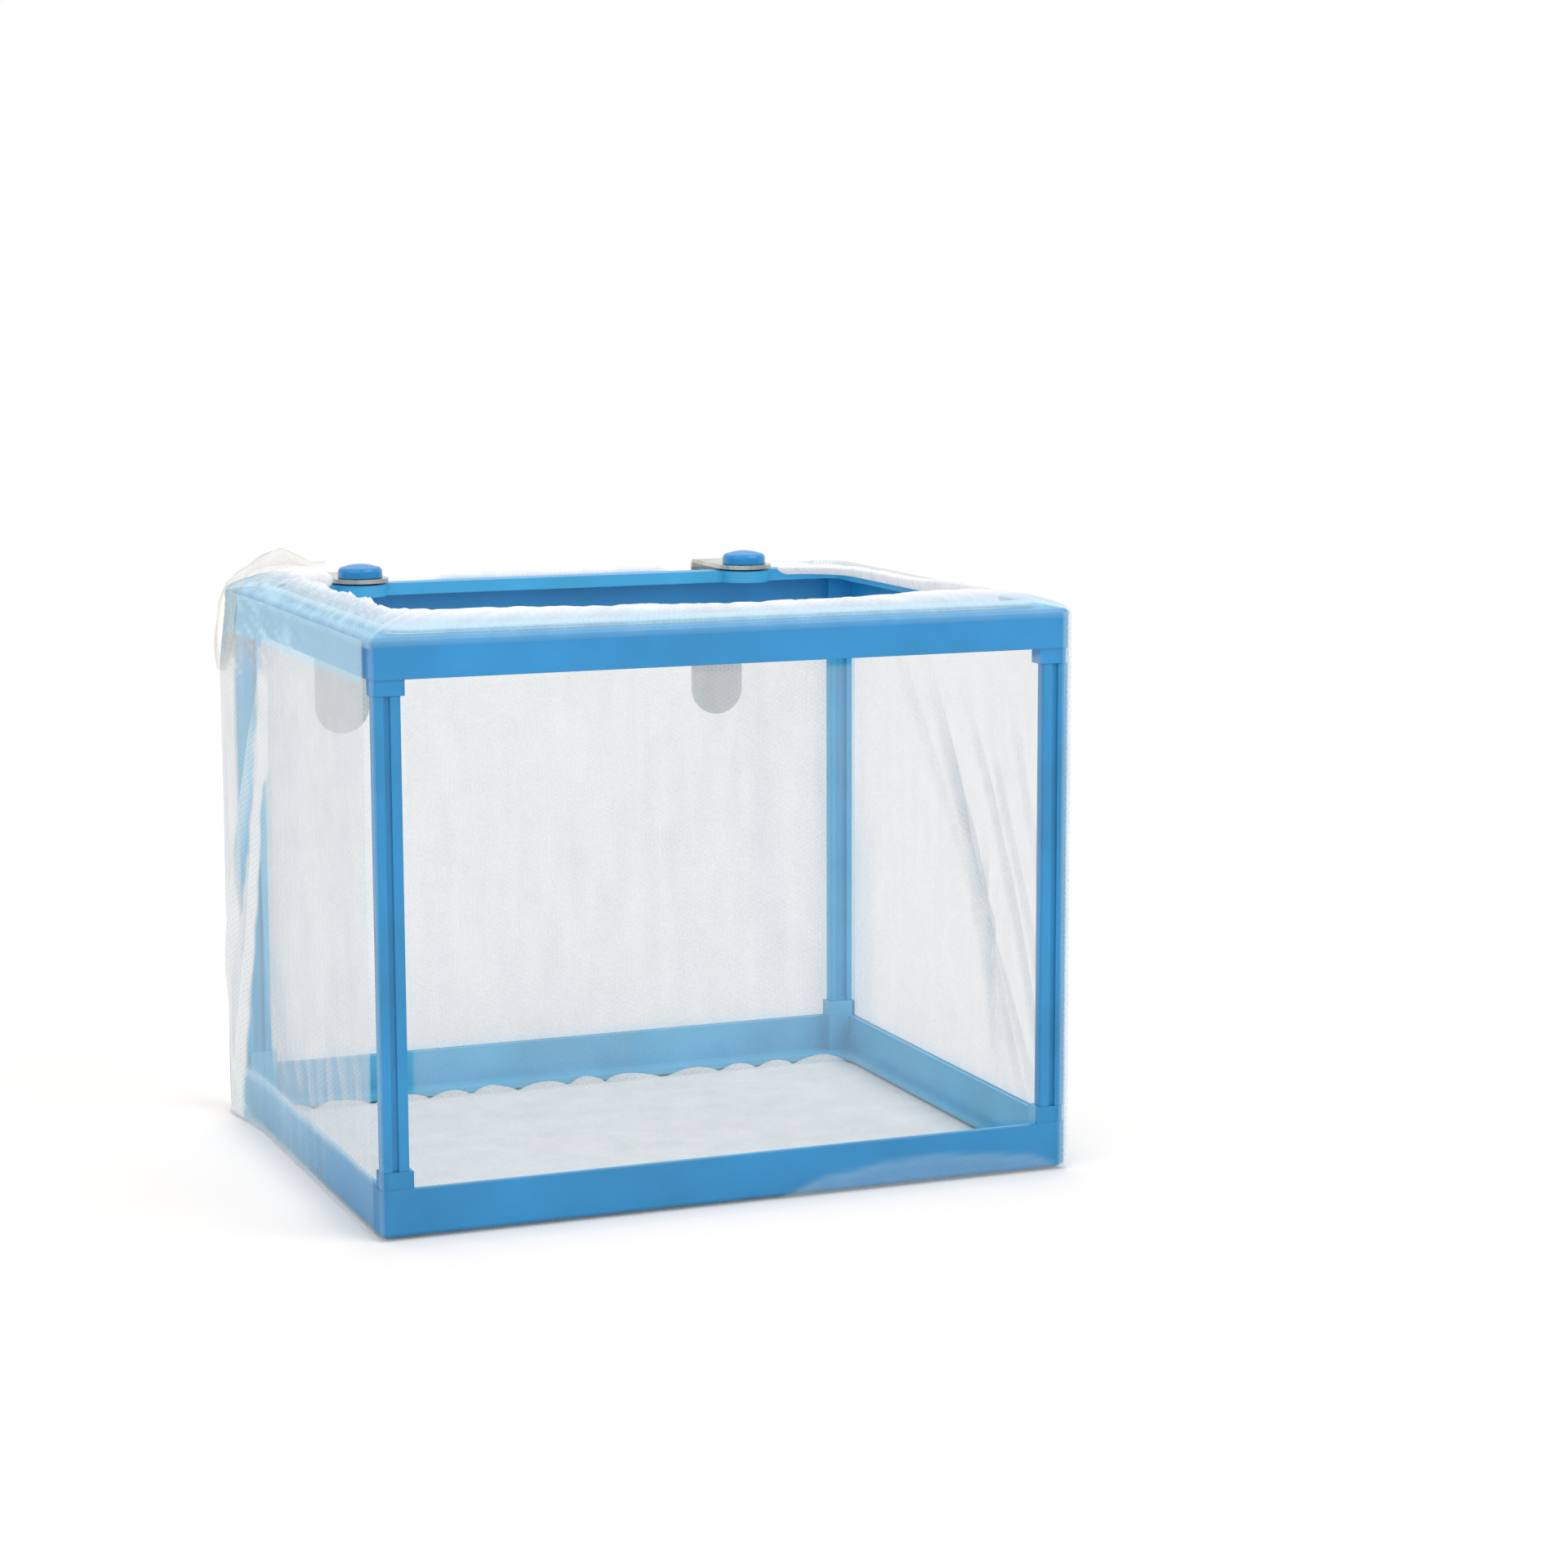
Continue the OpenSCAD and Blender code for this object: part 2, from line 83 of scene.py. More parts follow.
def box_mm(node):
    low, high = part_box(node)
    return low / MM, high / MM


ring_low, ring_high = box_mm("bottom_frame")
HALF_W, HALF_D = ring_high.x, ring_high.y
FOOT_Z = ring_low.z
TOP_Z = box_mm("top_frame")[0].z + (TOP_RING_H + TOP_COLLAR_H)
print("frame is", 2 * HALF_W, "wide,", 2 * HALF_D, "deep and its top at", TOP_Z)

# %% [markdown]
# ## Camera
# The photograph was taken with a short telephoto from a little left of the front and just
# above the box. The camera's place, turn and focal length were fitted to corners and edges of
# the frame in the photograph. Its turn is built from the three directions of its picture:
# right, up and back.

# %% Camera
VIEW_AZIMUTH, VIEW_HEIGHT, VIEW_ROLL = map(math.radians, (-21.777, 8.52, -0.169))
CAMERA_PLACE = (-0.271745, -0.774947, 0.209769)
SENSOR_MM, LENS_MM = 36, 79.58
NEAREST_M, FARTHEST_M = 0.01, 20
camera = bpy.data.objects.new("camera", bpy.data.cameras.new("camera"))
bpy.context.scene.collection.objects.link(camera)
back = Vector((
    math.sin(VIEW_AZIMUTH) * math.cos(VIEW_HEIGHT),
    -math.cos(VIEW_AZIMUTH) * math.cos(VIEW_HEIGHT),
    math.sin(VIEW_HEIGHT),
))
right = Vector((math.cos(VIEW_AZIMUTH), math.sin(VIEW_AZIMUTH), 0))
turn = Matrix((right, back.cross(right), back)).transposed()
camera.matrix_world = (
    Matrix.Translation(CAMERA_PLACE)
    @ turn.to_4x4()
    @ Matrix.Rotation(VIEW_ROLL, 4, "Z")
)
camera.data.sensor_width = SENSOR_MM
camera.data.lens = LENS_MM
camera.data.clip_start, camera.data.clip_end = NEAREST_M, FARTHEST_M
bpy.context.scene.camera = camera
bpy.context.scene.view_settings.view_transform = "Standard"
print("camera at", camera.location)

# %% [markdown]
# ## Helpers for finishes
# Colours are written as the sRGB hex values that a picture editor shows, and one function
# turns them to the linear values that the renderer needs. One small function adds any node
# with its settings and its links, so each material below reads as a list.

# %% Helpers for finishes


def linear(hex_colour):
    parts = [int(hex_colour[i : i + 2], 16) / 255 for i in (1, 3, 5)]
    return [p / 12.92 if p < 0.04045 else ((p + 0.055) / 1.055) ** 2.4 for p in parts] + [1]


def add(tree, kind, values=None, **settings):
    """Adds a node. settings are its own properties, and values set or link its inputs."""
    node = tree.nodes.new(kind)
    for name, value in settings.items():
        setattr(node, name, value)
    for name, value in (values or {}).items():
        if isinstance(value, bpy.types.NodeSocket):
            tree.links.new(value, node.inputs[name])
        else:
            node.inputs[name].default_value = value
    return node


def new_material(name):
    material = bpy.data.materials.new(name)
    material.use_nodes = True
    material.node_tree.nodes.clear()
    return material, material.node_tree


def finish_material(tree, shader):
    add(tree, "ShaderNodeOutputMaterial", {"Surface": shader.outputs[0]})


# %% [markdown]
# ## Light
# The photograph has even studio light on white. A real studio could be built with lamps and
# cloth, but a bright world and three broad suns do the same for a small object. The world is
# white where the camera or a shiny face sees it, and softer as a lamp, so the background is
# white and colours stay as written. The suns come from the front right, from the front left
# and from behind, high up. Their strengths were chosen by comparing renders with the
# photograph.

# %% Light
WORLD_LIGHT = 0.75
world = bpy.data.worlds.new("studio")
bpy.context.scene.world = world
world.use_nodes = True
tree = world.node_tree
tree.nodes.clear()
path = add(tree, "ShaderNodeLightPath")
either = {0: path.outputs["Is Camera Ray"], 1: path.outputs["Is Glossy Ray"]}
seen = add(tree, "ShaderNodeMath", either, operation="MAXIMUM")
either = {0: seen.outputs[0], 1: path.outputs["Is Transmission Ray"]}
seen = add(tree, "ShaderNodeMath", either, operation="MAXIMUM")
strength = add(tree, "ShaderNodeMapRange", {0: seen.outputs[0], 3: WORLD_LIGHT, 4: 1.0})
sky = add(tree, "ShaderNodeBackground", {"Color": linear("#ffffff"), "Strength": strength.outputs[0]})
add(tree, "ShaderNodeOutputWorld", {"Surface": sky.outputs[0]})


def sun(name, power, spread, azimuth, height):
    """A sun azimuth degrees from the front to the right and height degrees up.

    spread is how large it looks, in degrees, and so how soft its shadows are.
    """
    lamp = bpy.data.objects.new(name, bpy.data.lights.new(name, "SUN"))
    bpy.context.scene.collection.objects.link(lamp)
    lamp.data.energy, lamp.data.angle = power, math.radians(spread)
    a, h = math.radians(azimuth), math.radians(height)
    towards = Vector((math.sin(a) * math.cos(h), -math.cos(a) * math.cos(h), math.sin(h)))
    lamp.rotation_euler = towards.to_track_quat("Z", "Y").to_euler()


sun("key", 0.9, 34, 42, 47)
sun("fill", 0.6, 60, -55, 40)
sun("behind", 0.42, 50, 165, 62)
print("suns", [lamp.name for lamp in bpy.data.lights])

# %% [markdown]
# ## Table
# The box stands on a plain white table, which keeps the soft shadow of the box. It glows a
# little where the camera sees it, so that it runs into the white background.

# %% Table
TABLE_HALF_M = 6
floor_material, tree = new_material("white_table_laminate")
matt = add(tree, "ShaderNodeBsdfDiffuse", {"Color": linear("#f2efed")})
glow = add(tree, "ShaderNodeEmission", {"Color": linear("#ffffff"), "Strength": 0.03})
both = add(tree, "ShaderNodeAddShader", {0: matt.outputs[0], 1: glow.outputs[0]})
path = add(tree, "ShaderNodeLightPath")
seen = add(tree, "ShaderNodeMixShader", {
    0: path.outputs["Is Camera Ray"],
    1: matt.outputs[0],
    2: both.outputs[0],
})
finish_material(tree, seen)

mesh = bmesh.new()
bmesh.ops.create_grid(mesh, x_segments=1, y_segments=1, size=TABLE_HALF_M)
table = bpy.data.objects.new("table_top", bpy.data.meshes.new("table_top"))
mesh.to_mesh(table.data)
mesh.free()
table.data.materials.append(floor_material)
bpy.context.scene.collection.objects.link(table)
table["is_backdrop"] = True
print("table", 2 * TABLE_HALF_M, "m wide")

# %% [markdown]
# ## Moulded plastic
# The rings and legs are injection-moulded styrene plastic, and the studs are nylon. The mould
# leaves a satin skin with a very fine orange peel, the colour drifts a little where the melt
# flowed, and handled edges scuff slightly paler. A Bevel node finds the edges: where the
# rounded normal leaves the true one, the plastic is on an edge. The same node softens the
# edges' shine, as a mould's small radii do. Faces inside the frame look paler in the
# photograph, probably by light that comes through plastic and net, and are painted paler:
# painted light. The rear legs have a paler plastic, painted light for the same reason.

# %% Moulded plastic
# Size of the drifts of colour in the plastic, and radius of its edges
FLOW_MM, EDGE_MM = 22, 0.35
# A face that lies further than this inside the frame's outline is an inner one
OUTER_WALL_MM = 1


def painted_light_share(tree, place, low):
    """A value that is 1 on faces inside the frame and above low mm, and 0 elsewhere: where the paler
    colour is painted light.
    """
    outline = ((HALF_W - OUTER_WALL_MM) * MM, (HALF_D - OUTER_WALL_MM) * MM, 0)
    reach = add(tree, "ShaderNodeVectorMath", {0: place}, operation="ABSOLUTE")
    reach = add(tree, "ShaderNodeVectorMath", {0: reach.outputs[0], 1: outline}, operation="SUBTRACT")
    reach = add(tree, "ShaderNodeSeparateXYZ", {0: reach.outputs[0]})
    either = {0: reach.outputs["X"], 1: reach.outputs["Y"]}
    wall = add(tree, "ShaderNodeMath", either, operation="MAXIMUM")
    inside = add(tree, "ShaderNodeMapRange", {0: wall.outputs[0], 1: 0.1 * MM, 2: -0.1 * MM})
    high = add(tree, "ShaderNodeMapRange", {
        0: reach.outputs["Z"], 1: (low - 0.2) * MM, 2: (low + 0.2) * MM,
    })
    both = {0: inside.outputs[0], 1: high.outputs[0]}
    return add(tree, "ShaderNodeMath", both, operation="MULTIPLY").outputs[0]


def moulded_plastic(name, colour, scuffed, roughness, skin_mm=0.5, painted_light=None, painted_light_low=0.0):
    """Plastic of a colour, scuffed paler on its edges.

    The optional paler inner colour is painted light on the faces inside the frame that are higher than
    the low height given, in mm.
    """
    material, tree = new_material(name)
    place = add(tree, "ShaderNodeTexCoord").outputs["Object"]
    flow = add(tree, "ShaderNodeTexNoise", {
        "Vector": place,
        "Scale": 1 / (FLOW_MM * MM),
        "Detail": 3.0,
    })
    skin = add(tree, "ShaderNodeTexNoise", {
        "Vector": place,
        "Scale": 1 / (skin_mm * MM),
        "Detail": 2.0,
    })
    rounded = add(tree, "ShaderNodeBevel", {"Radius": EDGE_MM * MM}, samples=4)
    true = add(tree, "ShaderNodeNewGeometry").outputs["Normal"]
    both = {0: rounded.outputs[0], 1: true}
    facing = add(tree, "ShaderNodeVectorMath", both, operation="DOT_PRODUCT")
    edge = add(tree, "ShaderNodeMapRange", {
        0: facing.outputs["Value"], 1: 0.97, 2: 0.7, 3: 0.0, 4: 0.2,
    })
    drift = add(tree, "ShaderNodeMapRange", {
        0: flow.outputs[0], 1: 0.3, 2: 0.7, 3: 0.88, 4: 1.10,
    })
    plain = linear(colour)[:3]
    if painted_light:
        share = painted_light_share(tree, place, painted_light_low)
        plain = add(tree, "ShaderNodeMix", {
            0: share, 6: linear(colour), 7: linear(painted_light),
        }, data_type="RGBA").outputs[2]
    drifted = {0: plain, "Scale": drift.outputs[0]}
    base = add(tree, "ShaderNodeVectorMath", drifted, operation="SCALE")
    worn = add(tree, "ShaderNodeMix", {
        0: edge.outputs[0], 6: base.outputs[0], 7: linear(scuffed),
    }, data_type="RGBA")
    gloss = add(tree, "ShaderNodeMapRange", {
        0: skin.outputs[0], 1: 0.3, 2: 0.7, 3: roughness - 0.05, 4: roughness + 0.06,
    })
    relief = add(tree, "ShaderNodeBump", {
        "Height": skin.outputs[0],
        "Normal": rounded.outputs[0],
        "Strength": 0.25,
        "Distance": 0.05 * MM,
    })
    shader = add(tree, "ShaderNodeBsdfPrincipled", {
        "Base Color": worn.outputs[2],
        "Roughness": gloss.outputs[0],
        "Normal": relief.outputs[0],
        "IOR": 1.55,
    })
    finish_material(tree, shader)
    return material


def repaint(material, *names):
    for name in names:
        mesh = nodes[name].data
        mesh.materials.clear()
        mesh.materials.append(material)


# %% [markdown]
# ## Paint the moulded parts
# Rings, front legs, rear legs and studs each get a blue of their own, read from the
# photograph; the rear legs' paler blue is painted light. On the top ring only the upper edge of
# the inner faces is painted paler, as painted light, and on the bottom ring all inner faces are.

# %% Paint the moulded parts
# Only this top height of the top ring's inner faces gets the painted light
PAINTED_LIGHT_LIP_MM = 3.1
top_plastic = moulded_plastic(
    "moulded_styrene_top_ring",
    "#1787c4",
    "#6fb6e0",
    0.40,
    painted_light="#36a3d8",
    painted_light_low=TOP_Z - PAINTED_LIGHT_LIP_MM,
)
bottom_plastic = moulded_plastic(
    "moulded_styrene_bottom_ring", "#1580b7", "#6fb6e0", 0.42, painted_light="#52b0d6"
)
front_leg_plastic = moulded_plastic("moulded_styrene_front_legs", "#1585bd", "#6fb6e0", 0.36)
# The rear legs' paler blue is painted light, not a different plastic
rear_leg_painted_light_plastic = moulded_plastic("moulded_styrene_rear_legs_painted_paler", "#2ba5d4", "#7fc0e6", 0.36)
stud_plastic = moulded_plastic("moulded_nylon_studs", "#0082c4", "#5fb6e6", 0.28, skin_mm=0.8)
for material, *names in (
    (top_plastic, "top_frame"),
    (bottom_plastic, "bottom_frame"),
    (front_leg_plastic, "leg_front_left", "leg_front_right"),
    (rear_leg_painted_light_plastic, "leg_rear_left", "leg_rear_right"),
    (stud_plastic, "stud_left", "stud_right"),
):
    repaint(material, *names)
    print(material.name, "on", *names)

# %% [markdown]
# ## Rolled stainless strip
# The hangers are bent from rolled stainless strip. Rolling draws very fine lines along the
# strip, which blur its reflections sideways, and the water leaves a faint warm film.

# %% Rolled stainless strip
# Size of the drawn lines across and along the strip, and of the patches in the film
LINE_MM, FILM_MM = (0.35, 25, 25), 9
steel, tree = new_material("rolled_stainless_strip")
place = add(tree, "ShaderNodeTexCoord").outputs["Object"]
along = add(tree, "ShaderNodeMapping", {
    "Vector": place,
    "Scale": tuple(1 / (size * MM) for size in LINE_MM),
})
lines = add(tree, "ShaderNodeTexNoise", {"Vector": along.outputs[0], "Scale": 1.0, "Detail": 3.0})
film = add(tree, "ShaderNodeTexNoise", {"Vector": place, "Scale": 1 / (FILM_MM * MM), "Detail": 3.0})
tone = add(tree, "ShaderNodeMapRange", {0: film.outputs[0], 1: 0.35, 2: 0.7})
colour = add(tree, "ShaderNodeMix", {
    0: tone.outputs[0], 6: linear("#c9c9c4"), 7: linear("#b4b0a2"),
}, data_type="RGBA")
gloss = add(tree, "ShaderNodeMapRange", {0: lines.outputs[0], 1: 0.3, 2: 0.7, 3: 0.24, 4: 0.42})
relief = add(tree, "ShaderNodeBump", {"Height": lines.outputs[0], "Strength": 0.3, "Distance": 0.02 * MM})
shader = add(tree, "ShaderNodeBsdfPrincipled", {
    "Base Color": colour.outputs[2],
    "Roughness": gloss.outputs[0],
    "Normal": relief.outputs[0],
    "Metallic": 1.0,
})
finish_material(tree, shader)
repaint(steel, "hanger_left", "hanger_right")
print(steel.name, "on both strips")

# %% [markdown]
# ## Nylon net
# The bag is warp-knitted nylon tulle: hexagonal holes about a millimetre apart between
# yarns a few tenths thick. Modelling half a million holes would be heavy and would flicker,
# so the net is a smooth surface whose cover, the share of it that is yarn, is stored in the
# mesh as "cover". Three crossed waves on the cloth's own map, in millimetres of cloth, draw
# the hexagons into that cover. Real holes are about 0.9 mm apart and are drawn at 1.3 mm, or
# they would be finer than the picture's dots. A second value in the mesh says where plastic
# lies close behind the net, and there the net is painted blue, painted light from the plastic
# behind; below 0, where the net is double, it paints the net whiter, painted light of the two
# layers. The walls' grey and the loose corner's darker colour are painted shade on a white yarn.

# %% Nylon net
# From one hole to the next, and the size of the drifts in the yarn's colour
HOLE_MM, TONE_MM = 1.3, 9
# Net that lies on the blue plastic is painted this tint: painted light from the plastic behind it
PAINTED_PLASTIC_LIGHT_TINT = "#b4e0f2"


def nylon_net(name, colour, paler, contrast=0.08, sheen=0.2):
    """Net between two colours. contrast is how strongly the hexagons show."""
    material, tree = new_material(name)
    cloth = add(tree, "ShaderNodeUVMap", uv_map="cloth").outputs[0]
    waves = None
    per_mm = 2 * math.pi / (HOLE_MM * math.cos(math.radians(30)))
    for degrees in (0, 60, 120):
        a = math.radians(degrees)
        direction = (per_mm * math.cos(a), per_mm * math.sin(a), 0)
        step = add(tree, "ShaderNodeVectorMath", {0: cloth, 1: direction}, operation="DOT_PRODUCT")
        wave = add(tree, "ShaderNodeMath", {0: step.outputs["Value"]}, operation="COSINE")
        if waves is not None:
            pair = {0: waves.outputs[0], 1: wave.outputs[0]}
            wave = add(tree, "ShaderNodeMath", pair, operation="ADD")
        waves = wave
    yarn = add(tree, "ShaderNodeMapRange", {
        0: waves.outputs[0], 1: -1.5, 2: 2.0, 3: 1 + contrast, 4: 1 - 1.3 * contrast,
    })
    cover = add(tree, "ShaderNodeAttribute", attribute_name="cover").outputs["Fac"]
    share = {0: cover, 1: yarn.outputs[0]}
    alpha = add(tree, "ShaderNodeMath", share, operation="MULTIPLY", use_clamp=True)
    tone = add(tree, "ShaderNodeTexNoise", {"Vector": cloth, "Scale": 1 / TONE_MM, "Detail": 2.0})
    mixed = add(tree, "ShaderNodeMapRange", {0: tone.outputs[0], 1: 0.3, 2: 0.7})
    white = add(tree, "ShaderNodeMix", {
        0: mixed.outputs[0], 6: linear(colour), 7: linear(paler),
    }, data_type="RGBA")
    # Painted light: blue where plastic lies behind the net, and white where the net is double
    backed_and_painted_tint = add(tree, "ShaderNodeAttribute", attribute_name="backed_and_painted_tint").outputs["Fac"]
    doubled = add(tree, "ShaderNodeMath", {0: backed_and_painted_tint, 1: -1.0}, operation="MULTIPLY")
    painted_double_white = add(tree, "ShaderNodeMix", {
        0: doubled.outputs[0], 6: white.outputs[2], 7: linear("#ffffff"),
    }, data_type="RGBA")
    painted_tint = add(tree, "ShaderNodeMix", {
        0: backed_and_painted_tint, 6: painted_double_white.outputs[2], 7: linear(PAINTED_PLASTIC_LIGHT_TINT),
    }, data_type="RGBA")
    shader = add(tree, "ShaderNodeBsdfPrincipled", {
        "Base Color": painted_tint.outputs[2],
        "Alpha": alpha.outputs[0],
        "Roughness": 0.7,
        "IOR": 1.53,
        "Sheen Weight": sheen,
    })
    finish_material(tree, shader)
    return material


# The walls' and floor's grey and the loose end's darker beige are painted shade on a white yarn; the
# hem's net keeps the yarn's near white
shaded_wall_net = nylon_net("knitted_nylon_net_painted_shade", "#ced4d7", "#d9dee1")
shaded_loose_net = nylon_net("loose_nylon_net_painted_shade", "#bfc1b8", "#cfd1c9")
hem_net = nylon_net("gathered_nylon_net", "#eff1f5", "#fcfafd", contrast=0.05, sheen=0.3)
print("net materials", shaded_wall_net.name, shaded_loose_net.name, hem_net.name)

# %% [markdown]
# ## A cloth helper
# Each sheet of net starts as one flat grid whose map is the cloth before it was sewn, in
# millimetres. A function then says where each point of the cloth lies and how much yarn
# covers it there, so folds, seams and thin places are all stated in the cloth's own terms.

# %% A cloth helper


def lay_cloth(name, width, height, cell, lie, material, closed=False):
    """A sheet of cloth, width by height mm, in cells of about cell mm.

    lie(u, v) gives a point's place in mm, its cover and how far plastic backs it, which also sets the
    painted blue of plastic behind.
    """
    across, up = max(2, round(width / cell)), max(2, round(height / cell))
    mesh = bmesh.new()
    bmesh.ops.create_grid(mesh, x_segments=across, y_segments=up, size=0.5)
    cloth_map = mesh.loops.layers.uv.new("cloth")
    cover = mesh.verts.layers.float.new("cover")
    backed_and_painted_tint = mesh.verts.layers.float.new("backed_and_painted_tint")
    for face in mesh.faces:
        for loop in face.loops:
            loop[cloth_map].uv = ((loop.vert.co.x + 0.5) * width, (loop.vert.co.y + 0.5) * height)
    for vert in mesh.verts:
        place, vert[cover], vert[backed_and_painted_tint] = lie((vert.co.x + 0.5) * width, (vert.co.y + 0.5) * height)
        vert.co = Vector(place) * MM
    if closed:
        bmesh.ops.remove_doubles(mesh, verts=mesh.verts, dist=0.02 * MM)
    for face in mesh.faces:
        face.smooth = True
    piece = bpy.data.objects.new(name, bpy.data.meshes.new(name))
    mesh.to_mesh(piece.data)
    area = sum(face.calc_area() for face in mesh.faces)
    print(name, "faces", len(mesh.faces), "area cm2", round(area * 1e4, 1))
    mesh.free()
    piece.data.materials.append(material)
    bpy.context.scene.collection.objects.link(piece)
    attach(piece, "box")
    return piece


def ridge(distance, width):
    """1 on a fold's crest, falling to 0 over about width."""
    return math.exp(-((distance / width) ** 2))


def ramp(x, low, high):
    """0 below low, 1 above high and smooth between."""
    t = min(max((x - low) / (high - low), 0), 1)
    return t * t * (3 - 2 * t)


def between(table, at):
    """A value from a table of (place, value), read smoothly at a place."""
    for (a, low), (b, high) in zip(table, table[1:]):
        if at <= b:
            return low + (high - low) * ramp(at, a, b)
    return table[-1][1]


def blend(first, second, share):
    """The value a share of the way from first to second."""
    return first + (second - first) * share


def waver(*place):
    """Smooth noise about 0, the same in every run."""
    return noise.noise(Vector((*place, 0.0, 0.0, 0.0)[:3]))


# %% [markdown]
# ## A line round the bag
# The four walls are one strip of net that runs round the frame and hangs 0.5 mm outside it.
# Four boards of net would meet in hard edges, so the strip is laid round the frame by its
# length: a point's distance along the cloth picks the wall or the rounded corner.

# %% A line round the bag
NET_OUT = 0.5
CORNER_R = 2.6
FLAT_W, FLAT_D = 2 * (HALF_W + NET_OUT - CORNER_R), 2 * (HALF_D + NET_OUT - CORNER_R)
TURN = CORNER_R * math.pi / 2
AROUND = 2 * FLAT_W + 2 * FLAT_D + 4 * TURN
WALL_LOW, WALL_HIGH = 0.7, TOP_Z - 0.6
print("bag is", round(AROUND, 1), "mm round")


def around(s, out=0.0):
    """The place s mm round the bag from its rear left corner, out mm outside its tight line.

    The way goes along the left wall, the front, the right wall and the back.
    """
    x0, y0 = FLAT_W / 2, FLAT_D / 2
    for length, corner, angle in (
        (FLAT_D, (-x0, -y0), 180),
        (FLAT_W, (x0, -y0), 270),
        (FLAT_D, (x0, y0), 0),
        (FLAT_W, (-x0, y0), 90),
    ):
        a = math.radians(angle)
        outwards = Vector((math.cos(a), math.sin(a), 0))
        along = Vector((-math.sin(a), math.cos(a), 0))
        if s <= length:
            return Vector((*corner, 0)) + outwards * (CORNER_R + out) - along * (length - s)
        s -= length
        if s <= TURN:
            a += s / CORNER_R
            outwards = Vector((math.cos(a), math.sin(a), 0))
            return Vector((*corner, 0)) + outwards * (CORNER_R + out)
        s -= TURN
    return around(0.0, out)


# %% [markdown]
# ## Folds of the walls
# The net is tight over the front, a little slack at the back, and loose at the sides, where
# the gathered hem throws tall folds. Each fold is a soft ridge between two places on a wall,
# which pushes the net outwards, and follows the photograph where it shows that wall. A cloth
# simulation would give folds of its own, but not those of the photograph.

# %% Folds of the walls
FOLDS = {
    # place along the wall and height of one end, the same of the other end, the fold's width
    # and how far it stands out
    "left": [
        (0, 34, 31, 108, 2.4, 1.5),
        (8, 10, 28, 88, 2.0, 1.2),
        (36, 20, 33, 124, 2.8, 0.7),
        (40, 18, 38, 38, 1.7, 0.6),
        (50, 18, 47, 34, 1.8, 0.6),
        (61, 19, 58, 40, 1.9, 0.6),
        (73, 18, 69, 36, 1.8, 0.7),
        (84, 19, 80, 42, 1.8, 0.6),
        (95, 18, 90, 38, 1.7, 0.7),
        (105, 18, 101, 44, 1.9, 0.7),
        (116, 18, 112, 40, 1.7, 0.6),
        (44, 96, 60, 128, 2.4, 0.5),
    ],
    "right": [
        (53, 100, 104, 12, 1.7, 1.3),
        (45, 108, 94, 18, 2.2, 0.9),
        (60, 84, 110, 14, 1.5, 1.1),
        (70, 100, 117, 18, 1.6, 1.2),
        (86, 96, 121, 22, 1.5, 0.9),
        (98, 104, 123, 40, 1.6, 0.7),
        (30, 112, 76, 50, 2.4, 0.7),
        (88, 16, 80, 70, 1.5, 0.8),
    ],
    "front": [],
    "rear": [
        (20, 12, 26, 124, 3.0, 0.4),
        (140, 8, 134, 120, 3.0, 0.4),
    ],
}
# The net at the rear left corner stands this far out, but less just below the hem
LOOSE = 2.9


def fold_height(wall, t, z):
    """How far in mm the folds push a wall out, at t mm along it and height z."""
    total = 0.0
    for t0, z0, t1, z1, width, height in FOLDS[wall]:
        along = ((t - t0) * (t1 - t0) + (z - z0) * (z1 - z0)) / ((t1 - t0) ** 2 + (z1 - z0) ** 2)
        length = math.hypot(t1 - t0, z1 - z0)
        bend = 2.0 * math.sin(3 * along + t0)
        distance = ((t - t0) * (z1 - z0) - (z - z0) * (t1 - t0)) / length + bend
        total += height * ridge(distance, width) * ramp(along, -0.12, 0.2) * ramp(along, 1.12, 0.8)
    return total


def wall_slack(s, z):
    """How far in mm the net stands off its tight line, s mm round the bag and at height z.

    Also gives how much of that is folds, the wall, and the place along the wall.
    """
    middle = math.sin(math.pi * min(max((z - 8) / 112, 0), 1))
    at_corner = ridge(s, 15) + ridge(AROUND - s, 11)
    loose_corner = LOOSE * at_corner * (0.3 + 0.7 * ramp(z, 132, 110))
    free = 1.0
    if s <= FLAT_D:
        wall, t = "left", s
        sag = 1.3 * math.sin(math.pi * t / FLAT_D) * middle
    elif s <= FLAT_D + TURN + FLAT_W:
        wall, t = "front", s - FLAT_D - TURN
        sag = free = 0.0
    elif s <= 2 * FLAT_D + 2 * TURN + FLAT_W:
        wall, t = "right", s - FLAT_D - 2 * TURN - FLAT_W
        sag = 0.8 * math.sin(math.pi * min(max(t / FLAT_D, 0), 1)) * middle
        from_middle = abs(s - 1.5 * FLAT_D - 1.5 * TURN - FLAT_W)
        free = ramp(from_middle, FLAT_D / 2, FLAT_D / 2 - 12)
        t = FLAT_D - t
    else:
        wall, t = "rear", s - 2 * FLAT_D - 3 * TURN - FLAT_W
        sag = 0.6 * math.sin(math.pi * min(max(t / FLAT_W, 0), 1)) * middle
    fine = 0.25 * waver(s / 5, z / 30, 2) * ramp(z, 118, 100) + 0.2 * waver(s / 14, z / 40, 7)
    folds = fold_height(wall, t, z)
    return loose_corner + sag + folds + free * (0.3 + fine), folds, wall, t


print("folds", {wall: len(rows) for wall, rows in FOLDS.items()})

# %% [markdown]
# ## Cover of the walls
# How much a net hides depends on how much yarn the eye meets: more where it is slack, double
# or slanting, less where it is stretched. A fold holds more yarn for each millimetre of wall,
# so cover rises on its flanks. At the rear left the net is double but for two gaps, and at
# the front a flap of it is turned up. Their edges follow the photograph.

